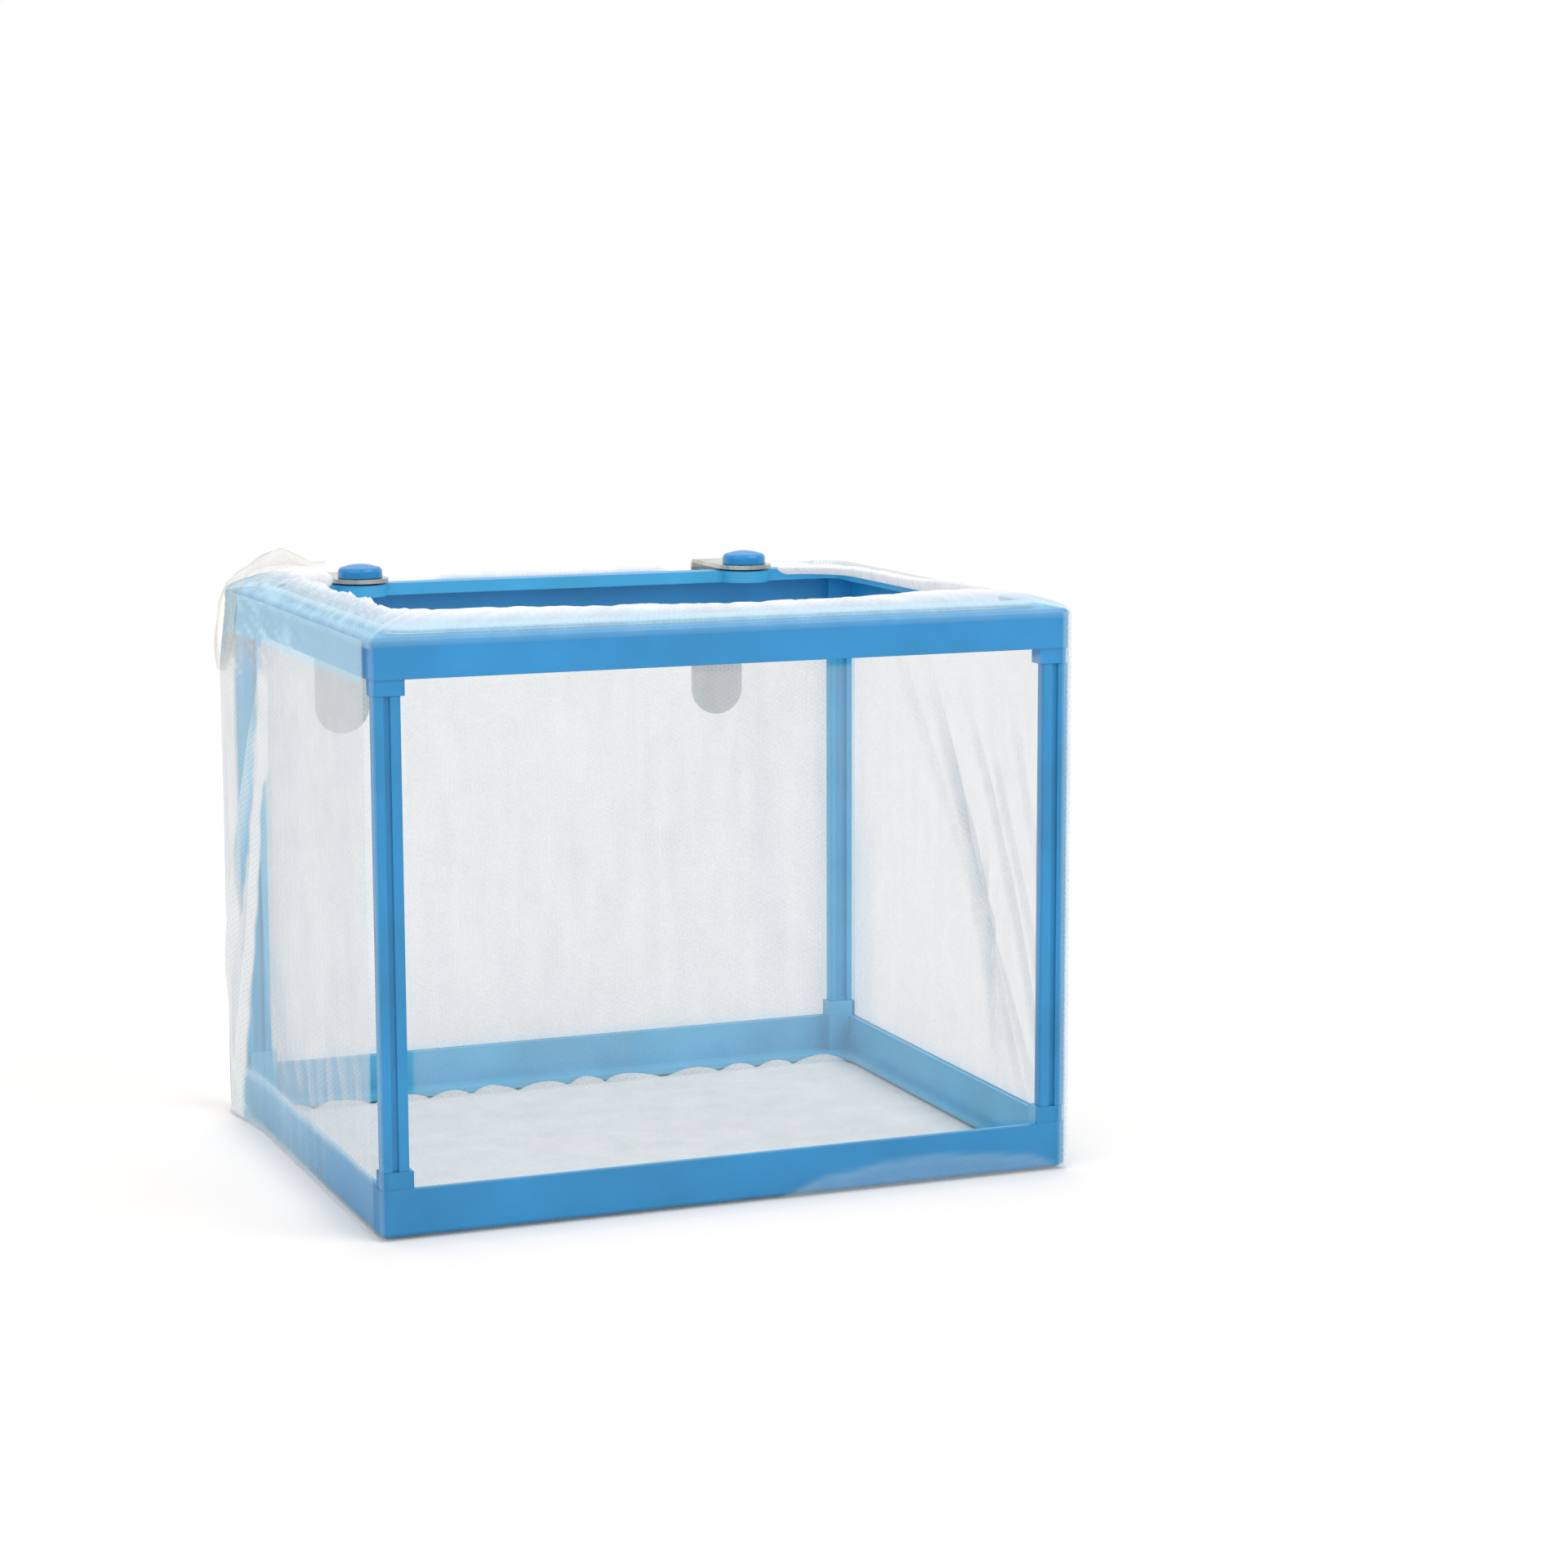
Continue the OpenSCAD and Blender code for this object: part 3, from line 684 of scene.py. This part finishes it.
# %% Cover of the walls
# The share of yarn that the eye meets in each wall
WALL_COVER = {"left": 0.43, "front": 0.17, "right": 0.40, "rear": 0.50}


def on_frame(wall, t, z):
    """1 where a ring or a leg is just behind the net."""
    half, leg = (FLAT_W / 2, 6.0) if wall in ("front", "rear") else (FLAT_D / 2, 3.0)
    rings = max(ramp(z, FOOT_Z + 12.0, FOOT_Z + 11.2), ramp(z, TOP_Z - 10.6, TOP_Z - 9.8))
    return max(rings, ramp(abs(t - half), half - leg, half - leg + 0.7))


# Edges of the two gaps in the doubled net at the rear left, as (height, place along the wall)
UPPER_GAP = [
    (40, 4), (56, 13), (64.5, 16.5), (73, 20.5), (87, 25), (94, 27.5), (106, 33), (117, 31), (131, 31),
]
LOWER_GAP = [
    (6, 9), (18, 12.5), (30, 15.5), (48.5, 22), (60.5, 26), (77, 32), (86.5, 35.5), (95, 44),
]
# Upper edge of the flap that is turned up at the front, as (place along the wall, height)
FLAP = [(88, 0.0), (105, 4.4), (118, 6.0), (129, 6.4), (141, 5.4), (152, 4.2), (164, 0.0)]


def front_cover(t, z, base, backed_and_painted_tint):
    """The tight net nearly vanishes over the frame, but for the flap that is turned up."""
    edge = between(FLAP, t) if t > FLAP[0][0] else 0.0
    flap = ramp(edge, 0, 0.8)
    turned_up = ramp(z - edge, 0.9, -0.9) * flap
    base *= 1 - 0.6 * ramp(t, 100, 150) * ramp(z, 50, 25)
    over_frame = 0.17 * turned_up + 0.12 * ridge(z - edge, 0.9) * flap
    # The turned-up flap gets less of the painted blue of the plastic behind
    return base * (1 - 0.96 * backed_and_painted_tint) + over_frame * backed_and_painted_tint, backed_and_painted_tint * (1 - 0.6 * turned_up)


def left_cover(t, z, base, backed_and_painted_tint):
    """The net is double towards the rear, but for two gaps, and wrinkled below the hem."""
    upper, lower = between(UPPER_GAP, z), between(LOWER_GAP, z)
    in_upper = ramp(t, 10, 13) * ramp(t, upper + 1, upper - 1.5)
    gap = max(in_upper, ramp(t, lower - 1, lower + 1.5))
    below_rail = ramp(z, 119, 111) * ramp(t, 42, 38)
    doubled = below_rail * (1 - gap)
    thin_low = 0.35 * ramp(t, 40, 115) * ramp(z, 60, 20)
    base += (0.1 - thin_low) * backed_and_painted_tint - 0.6 * ramp(t, FLAT_D - 2.2, FLAT_D - 0.8)
    rail_edge = 0.3 * ridge(z - FOOT_Z - 12.4, 1.2) * ramp(t, 115, 60)
    base += 0.3 * doubled - 0.04 * gap * below_rail + rail_edge
    base += 0.2 * ridge(t - (upper if z > 70 else lower), 0.9) * below_rail
    base += 0.1 * ramp(z, 60, 90) * ramp(t, FLAT_D - 1, FLAT_D - 6)
    base -= 0.06 * ramp(z, 10, 6) * ramp(t, 6, 30)
    wrinkle = max(waver((z + 0.35 * t) / 1.8, (t - 0.35 * z) / 12, 6), 0)
    base += 0.45 * wrinkle * ramp(z, 104, 114) * ramp(t, 100, 20)
    # The doubled net is painted whiter, and the two gaps get half the painted blue of plastic behind,
    # though no plastic lies close behind them
    return base, max(backed_and_painted_tint * (1 - doubled), 0.5 * below_rail * gap) - 0.35 * doubled


def rear_cover(t, z, base, backed_and_painted_tint):
    """The net is double beside the loose corner."""
    doubled = ramp(t, FLAT_W - 14, FLAT_W - 1)
    # The doubled net is painted whiter: painted light of the two layers
    return base + 0.25 * doubled, backed_and_painted_tint * (1 - doubled) - 0.35 * doubled


def right_cover(t, z, base, backed_and_painted_tint):
    """The net bunches a little low down beside the front leg."""
    beside_leg = ramp(t, 18, 6) * ramp(z, 80, 45)
    # Beside the leg the net is also painted bluer: painted light from the leg
    return base + 0.1 * beside_leg, max(backed_and_painted_tint, 0.6 * beside_leg)


COVER_OF = {"left": left_cover, "front": front_cover, "right": right_cover, "rear": rear_cover}


def wall_cover(wall, t, z, slope, folds):
    """Cover is more through slack, doubled and slanting net, and less where it lies tight."""
    base, backed_and_painted_tint = COVER_OF[wall](t, z, WALL_COVER[wall], on_frame(wall, t, z))
    crease = 0.9 * min(slope, 1.5) * base + 0.15 * folds
    uneven = 0.12 * base * waver(t / 4, z / 25, 3) * ramp(z, 118, 100)
    return min(max(base + crease + uneven, 0.0), 0.97), backed_and_painted_tint


print("share of yarn", WALL_COVER)

# %% [markdown]
# ## Lay the walls
# One call lays the strip round the frame. Fine net dims the light behind it hardly at all,
# and a smooth sheet would dim it like paper, so the sheets of net cast no shadow.

# %% Lay the walls
# The slope of a fold is read between two points this far to either side
BESIDE = 0.6


def lie_wall(s, v):
    z = WALL_LOW + v
    slack, folds, wall, t = wall_slack(s, z)
    ahead, behind = wall_slack(s + BESIDE, z)[0], wall_slack(s - BESIDE, z)[0]
    place = around(min(max(s, 0), AROUND), slack)
    slope = abs(ahead - behind) / (2 * BESIDE)
    return (place.x, place.y, z), *wall_cover(wall, t, z, slope, folds)


bag = lay_cloth("bag_walls", AROUND, WALL_HIGH - WALL_LOW, 1.15, lie_wall, shaded_wall_net, closed=True)
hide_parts("net_front_wall", "net_rear_wall", "net_left_wall", "net_right_wall")
bag.visible_shadow = False

# %% [markdown]
# ## Floor of the bag
# The floor is a rectangle of the same net, sewn to the walls and drawn tight under the
# bottom ring, which stands on it. Inside the ring it lies on the table, and along the rear
# ledge the cut edge is longer than the seam, so it puckers into scallops.

# %% Floor of the bag
FLOOR_W, FLOOR_D = 2 * HALF_W + 0.6, 2 * HALF_D + 0.6
# Widths of the bottom ring's ledges
LEDGE, REAR_LEDGE = 4.5, 8.0


def lie_floor(u, v):
    x, y = u - FLOOR_W / 2, v - FLOOR_D / 2
    in_x, in_y = HALF_W - LEDGE - abs(x), HALF_D - REAR_LEDGE - y
    inside = ramp(min(in_x, in_y, HALF_D - LEDGE + y), 0.2, 3)
    scallop = abs(math.sin(math.pi * (x + 7 * waver(x / 26, 1)) / 13)) ** 0.7
    rear = 2.6 * scallop * ridge(in_y - 2.4, 2.2)
    crumple = 0.5 * ridge(waver(x / 30, y / 20, 9) * 10, 1.2) * ramp(in_y, 40, 4)
    ripples = 0.5 * (0.5 + waver(x / 22, y / 14, 5)) + crumple
    z = 0.3 + inside * (rear + max(ripples, 0))
    pulled = 0.72 * LOOSE * ridge(HALF_D - y, 15) * ridge(x + HALF_W, 11)
    at_rim = ramp(min(in_x, HALF_D - LEDGE - abs(y)), -1.5, -4)
    cover = 0.72 - 0.57 * at_rim + 0.16 * inside * waver(x / 9, y / 6, 3)
    return (x - pulled, y + pulled, z), cover, 0.0


floor_net = lay_cloth("bag_floor", FLOOR_W, FLOOR_D, 1.3, lie_floor, shaded_wall_net)
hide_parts("net_floor")
floor_net.visible_shadow = False

# %% [markdown]
# ## Gathered hem
# The bag's top edge is turned over an elastic cord and sewn into a casing. At the front and
# sides the elastic pulls it in over the ring's flat top: the net slopes up from the ring's
# outer edge, gathers into a white crest at the mouth and curls over the mouth's edge. Behind
# the rear rail it is a plain roll, low enough to pass under the two strips. Both sections
# are a closed line of ten stations, and each station runs round the frame as a rounded
# rectangle of its own, so the hem keeps even corners however far it reaches in.

# %% A line round the frame
# A corner of the line takes this much of each side, and is itself this long
CORNER_CUT, CORNER_SHARE = 10, 15.0
SIDES = (2 * HALF_D - 2 * CORNER_CUT, CORNER_SHARE, 2 * HALF_W - 2 * CORNER_CUT, CORNER_SHARE) * 2
RIM = sum(SIDES)


def rim_turn(s):
    """The part of the frame at s mm round it.

    0 to 1 is the left side, 1 to 2 its front corner, and so on to 8.
    """
    for i, length in enumerate(SIDES):
        if s <= length or i == 7:
            return i + min(s / length, 1.0)
        s -= length


def rim(turn, inset, corner):
    """The place on a rounded rectangle inset mm inside the frame's outer faces."""
    i = min(int(turn), 7)
    t = turn - i
    x0, y0 = HALF_W - inset - corner, HALF_D - inset - corner
    a = math.radians(180 + 90 * (i // 2) + (90 * t if i % 2 else 0))
    corners = [(-x0, y0), (-x0, -y0), (x0, -y0), (x0, y0), (-x0, y0)]
    first, last = corners[i // 2], corners[i // 2 + 1]
    share = 1.0 if i % 2 else t
    middle = Vector((blend(first[0], last[0], share), blend(first[1], last[1], share), 0))
    return middle + Vector((math.cos(a), math.sin(a), 0)) * corner


def smooth_row(rows, t):
    """The row at t, from 0 to 1, between the middle two of four, smooth through them all."""
    return [
        0.5 * (2 * b + (c - a) * t + (2 * a - 5 * b + 4 * c - d) * t**2 + (3 * b - a - 3 * c + d) * t**3)
        for a, b, c, d in zip(*rows)
    ]


def through(stations, at):
    """The station at 0 to len(stations) on a smooth closed line through them."""
    i = int(at)
    return smooth_row([stations[(i + k) % len(stations)] for k in (-1, 0, 1, 2)], at - i)


print("line round the frame", round(RIM, 1), "mm")

# %% [markdown]
# ## Stations of the hem
# LAID says where the ten stations lie over the ring, from its outer face over the crest to
# the inside of the mouth and back. CREST says how high the crest is on each side. Behind the
# rear rail the stations are a circle, and at the rear corners one form eases into the other.
# The gathers are smooth noise, stronger where the cloth is free.

# %% Gathered hem
LAID = [
    # inset, corner radius, height as a share of the crest's, more height, cover, how free it is to gather
    (-0.55, 2.6, 0.0, -2.2, 0.0, 0.0),
    (-0.2, 2.8, 0.06, 0.1, 0.52, 0.2),
    (3.2, 5.5, 0.52, 0.2, 0.46, 0.7),
    (5.6, 9.0, 0.84, 0.1, 0.7, 0.9),
    (7.4, 13.0, 1.0, 0.0, 0.97, 1.0),
    (8.6, 15.0, 0.72, 0.0, 1.0, 0.9),
    (8.4, 15.0, 0.2, -0.4, 1.0, 0.5),
    (7.3, 13.0, 0.0, -1.5, 0.8, 0.1),
    (6.4, 11.0, 0.0, 0.4, 0.3, 0.1),
    (3.0, 5.0, 0.0, 0.3, 0.0, 0.0),
]
CREST = [
    # the place, counted as in rim_turn, and the height of the crest in mm
    (0, 5.7), (1, 5.3), (2, 5.0), (2.2, 4.4), (2.7, 3.8), (2.9, 4.6), (3.1, 4.3),
    (3.6, 3.7), (4.25, 2.9), (4.6, 1.4), (5.2, 0.9), (6.8, 0.9), (7.1, 4.6), (8, 5.7),
]
HEM_GIRTH = 25.0
# The roll behind the rear rail: inset and height of its middle above the ring's top
ROLL_INSET, ROLL_RISE = -2.2, -0.3
# Half its width and half its height
ROLL_HALF_W, ROLL_HALF_H = 1.7, 1.9


def at_rear(outer):
    """1 behind the rear rail, easing to 0 at the rear corners."""
    return ramp(HALF_W - abs(outer.x), 2, 14.5) if outer.y > HALF_D - 0.1 else 0.0


def strip_dip(x):
    """How far in mm the roll dips, to pass under a strip."""
    return 1.75 * ramp(abs(x), 27, 34) * ramp(abs(x), 75, 68)


def rear_roll(k, x):
    """Station k of the roll behind the rear rail, with the values that LAID has."""
    dip = strip_dip(x)
    a = math.radians(200 - 36 * k)
    rise = ROLL_RISE - dip + (ROLL_HALF_H - 0.15 * dip) * math.sin(a)
    return (ROLL_INSET + ROLL_HALF_W * math.cos(a), CORNER_R, rise, 0.88, 0.5)


def lie_hem(s, v):
    turn = rim_turn(s)
    crest = between(CREST, turn)
    outer = rim(turn, 0.0, CORNER_R)
    rear = at_rear(outer)
    stations = []
    for k, (inset, corner, share, more, cover, free) in enumerate(LAID):
        laid = (inset, corner, share * crest + more, cover, free)
        stations.append([blend(a, b, rear) for a, b in zip(laid, rear_roll(k, outer.x))])
    inset, corner, rise, cover, free = through(stations, v / HEM_GIRTH * len(LAID) % len(LAID))
    ring_a = 2 * math.pi * s / RIM
    ring = Vector((math.cos(ring_a), math.sin(ring_a))) * RIM / (2 * math.pi)
    left = ramp(turn, 1.9, 1.2) + ramp(turn, 7.2, 7.8)
    x, y = ring.x + 1.6 * v * left, ring.y + 1.6 * v * left
    gather = 0.7 * waver(x / 1.7, y / 1.7, v / 12) + waver(x / 6, y / 6, v / 14 + 3)
    lump = waver(ring.x / 17, ring.y / 17, 5)
    size = (0.3 + 0.7 * left) * min(crest / 4, 1) if rear < 0.5 else 0.3
    rise += free * size * (0.8 * gather + lump)
    if -0.4 < inset < 7.0:
        rise = max(rise, 0.12)
    loose = 0.35 * LOOSE * ridge(HALF_D - outer.y, 15) * ridge(outer.x + HALF_W, 11)
    inset -= loose * ramp(inset, 6, 0) * (1 - rear)
    place = rim(turn, inset, max(corner, 0.5))
    yarn = cover * (1 + 0.25 * gather) + (0.1 + 0.4 * left) * max(gather, 0) * free
    yarn *= 1 - 0.45 * (1 - left) * ramp(inset, 1.2, 0) * (1 - rear)
    yarn += (0.12 - 0.32 * ramp(inset, 1.5, 4)) * left * ramp(inset, 8.6, 6) * (1 - rear)
    pleat = max(waver((ring.x + 2.4 * v) / 3.5, (ring.y + 2.4 * v) / 3.5, 11), 0)
    yarn += 0.5 * left * free * pleat
    # Over the ring's outer part the hem is painted blue, more on the left: painted light from the plastic
    # under it
    backed_and_painted_tint = ramp(inset, 6.5 + 2 * left, 1.5) * (1 - rear)
    return (place.x, place.y, TOP_Z + rise), min(max(yarn, 0.0), 1), backed_and_painted_tint


hem = lay_cloth("bag_hem", RIM, HEM_GIRTH, 0.85, lie_hem, hem_net, closed=True)
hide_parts("hem_front", "hem_left", "hem_right", "hem_rear")
hem.visible_shadow = False

# %% [markdown]
# ## Braided elastic
# Inside the casing runs a thin round elastic: rubber strands in a braided nylon cover. It is
# a tube whose braid is drawn by two sets of slanting strands on its own map, and it follows
# the hem: on the ring's flat top at the front and sides, and behind the rear rail.

# %% Braided elastic
ELASTIC_R = 0.8
# Its place on the ring's flat top: inset, height and corner radius
ELASTIC_INSET, ELASTIC_RISE, ELASTIC_CORNER = 5.2, 1.1, 6.4
# Each set of strands has this many waves round the cord, and as many in the same length of it
STRANDS = 2
BRAID = STRANDS / ELASTIC_R
braided, tree = new_material("braided_elastic_cord")
cloth = add(tree, "ShaderNodeUVMap", uv_map="cloth").outputs[0]
strands = []
for slant in (1.0, -1.0):
    direction = (BRAID, BRAID * slant, 0)
    step = add(tree, "ShaderNodeVectorMath", {0: cloth, 1: direction}, operation="DOT_PRODUCT")
    wave = add(tree, "ShaderNodeMath", {0: step.outputs["Value"]}, operation="SINE")
    strands.append(wave.outputs[0])
strand = add(tree, "ShaderNodeMath", {0: strands[0], 1: strands[1]}, operation="MULTIPLY")
tone = add(tree, "ShaderNodeMapRange", {0: strand.outputs[0], 1: -1.0, 2: 1.0})
colour = add(tree, "ShaderNodeMix", {
    0: tone.outputs[0], 6: linear("#d5dadd"), 7: linear("#f4f6f7"),
}, data_type="RGBA")
relief = add(tree, "ShaderNodeBump", {
    "Height": strand.outputs[0],
    "Strength": 0.6,
    "Distance": 0.12 * MM,
})
shader = add(tree, "ShaderNodeBsdfPrincipled", {
    "Base Color": colour.outputs[2],
    "Normal": relief.outputs[0],
    "Roughness": 0.65,
    "IOR": 1.53,
    "Sheen Weight": 0.3,
})
finish_material(tree, shader)


def lie_elastic(s, v):
    turn = rim_turn(s)
    outer = rim(turn, 0.0, CORNER_R)
    rear = at_rear(outer)
    a = v / ELASTIC_R
    inset = blend(ELASTIC_INSET, ROLL_INSET, rear) - ELASTIC_R * math.cos(a)
    rise = blend(ELASTIC_RISE, ROLL_RISE - strip_dip(outer.x), rear) + ELASTIC_R * math.sin(a)
    place = rim(turn, inset, blend(ELASTIC_CORNER, CORNER_R, rear))
    return (place.x, place.y, TOP_Z + rise), 1.0, 0.0


elastic = lay_cloth("elastic_cord", RIM, 2 * math.pi * ELASTIC_R, 0.7, lie_elastic, braided, closed=True)
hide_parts("hem_elastic")

# %% [markdown]
# ## Loose end of the hem
# At the rear left corner the bag has more cloth than the elastic takes up. It stands up in a
# thin soft lobe over the corner and hangs down outside it. It is one piece of net folded over
# along its crest, so it is laid between three lines: the front edge, the crest and the back.

# %% Loose end of the hem
LOBE = [
    # front edge, crest and back edge, from the hanging end up and over the corner
    (-84.6, 57, 112.0, -87.2, 61.0, 112.0, -85.2, 66.4, 112.0),
    (-84.8, 54, 119.5, -87.3, 61.5, 120.0, -85.4, 67.8, 119.5),
    (-84.2, 53, 127.0, -86.2, 62.0, 127.5, -84.8, 68.4, 127.0),
    (-82.8, 52, 133.0, -84.2, 62.0, 132.8, -82.8, 69.0, 130.8),
    (-80.2, 52, 136.4, -81.6, 62.0, 135.7, -79.2, 69.0, 131.8),
    (-76.2, 53, 137.4, -77.5, 62.0, 138.1, -75.2, 69.0, 132.4),
    (-72.2, 55, 137.6, -73.4, 62.0, 140.3, -71.6, 68.4, 133.4),
    (-69.2, 57, 137.4, -70.3, 62.0, 141.3, -69.2, 67.2, 135.4),
    (-66.2, 58.5, 136.8, -66.8, 62.0, 139.6, -66.2, 65.6, 136.2),
    (-62.6, 59.5, 136.4, -63.1, 62.0, 137.9, -62.8, 64.6, 136.5),
    (-59.2, 60.5, 136.6, -59.2, 62.0, 137.7, -59.2, 63.8, 136.8),
]
LOBE_W, LOBE_L = 14.5, 50.0
# The creases push the lobe away from this place
LOBE_HEART = Vector((-72, 58, 126))


def lie_lobe(s, v):
    at = min(max(s / LOBE_L, 0), 1) * (len(LOBE) - 1)
    i = min(int(at), len(LOBE) - 2)
    row = smooth_row([LOBE[min(max(i + k, 0), len(LOBE) - 1)] for k in (-1, 0, 1, 2)], at - i)
    first, crest, last = (Vector(row[k : k + 3]) for k in (0, 3, 6))
    q = v / LOBE_W
    top = crest * 2 - (first + last) / 2
    place = first * (1 - q) ** 2 + top * 2 * q * (1 - q) + last * q**2
    outward = (crest - LOBE_HEART).normalized()
    crease = waver(s / 6, v / 9, 4) + 0.3 * waver(s / 2.2, v / 5, 8)
    place += outward * 0.5 * crease * math.sin(math.pi * q)
    cover = 0.17 + 0.45 * ridge(q - 0.5, 0.08) + 0.12 * crease + 0.35 * ridge(q, 0.06)
    return place, min(max(cover, 0.05), 1), 0.0


lobe = lay_cloth("bag_loose_end", LOBE_L, LOBE_W, 0.6, lie_lobe, shaded_loose_net)

# %% [markdown]
# ## Sewn seams
# A narrow rolled seam joins the walls at each upright corner and to the floor. Each is a
# thin roll of doubled net with an overlock thread, so it shows as a whiter line. Here each is
# a tube along a line of points, whose radius swells with every stitch.

# %% Sewn seams
SEAM_R, SEAM_CELL, STITCH_MM = 0.55, 0.45, 1.8
SEAM_L = WALL_HIGH - WALL_LOW - 1
# Points in the lines that the seams follow
CORNER_POINTS, FLOOR_POINTS = 60, 400


def lie_seam(line, length, cover):
    """How a seam of a length lies along a line of points. cover(place) is its share of yarn."""

    def lie(s, v):
        at = min(max(s / length, 0), 1) * (len(line) - 1)
        i = min(int(at), len(line) - 2)
        middle = line[i].lerp(line[i + 1], at - i)
        along = (line[min(i + 2, len(line) - 1)] - line[max(i - 1, 0)]).normalized()
        aside = Vector((0, 1, 0)) if abs(along.z) > 0.7 else Vector((0, 0, 1))
        side = along.cross(aside).normalized()
        angle = v / SEAM_R
        stitch = 1 + 0.14 * math.sin(2 * math.pi * s / STITCH_MM + angle)
        out = side * math.cos(angle) + side.cross(along) * math.sin(angle)
        # The seams get a fifth of the painted blue of plastic behind
        return middle + out * SEAM_R * stitch, cover(middle), 0.2

    return lie


def sew(name, line, length, cover):
    lie = lie_seam(line, length, cover)
    girth = 2 * math.pi * SEAM_R
    seam = lay_cloth("seam_cord_" + name, length, girth, SEAM_CELL, lie, hem_net, closed=True)
    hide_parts("seam_" + name)


def floor_cover(place):
    """The floor's seam shows more towards the back."""
    return 0.05 + 0.15 * ramp(place.y, -HALF_D + 20, -HALF_D + 60)


for name, s, share in (
    ("rear_left", AROUND - TURN / 2, 0.45),
    ("front_left", FLAT_D + TURN / 2, 0.05),
    ("front_right", FLAT_D + TURN * 1.5 + FLAT_W, 0.85),
    ("rear_right", 2 * FLAT_D + 2.5 * TURN + FLAT_W, 0.4),
):
    line = []
    for k in range(CORNER_POINTS):
        z = WALL_LOW + 0.5 + SEAM_L * k / (CORNER_POINTS - 1)
        place = around(s, wall_slack(s, z)[0] + 0.1)
        line.append(Vector((place.x, place.y, z)))
    sew(name, line, SEAM_L, lambda place: share)

line = []
for k in range(FLOOR_POINTS):
    s = AROUND * k / (FLOOR_POINTS - 1)
    place = around(s, wall_slack(s, WALL_LOW)[0])
    line.append(Vector((place.x, place.y, SEAM_R + 0.12)))
sew("floor", line, AROUND, floor_cover)

low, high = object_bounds()
for name, box in (("visual", (*low, *high)), ("CAD", (*cad_low, *cad_high))):
    print(name, "box, mm:", [round(1000 * v, 1) for v in box])
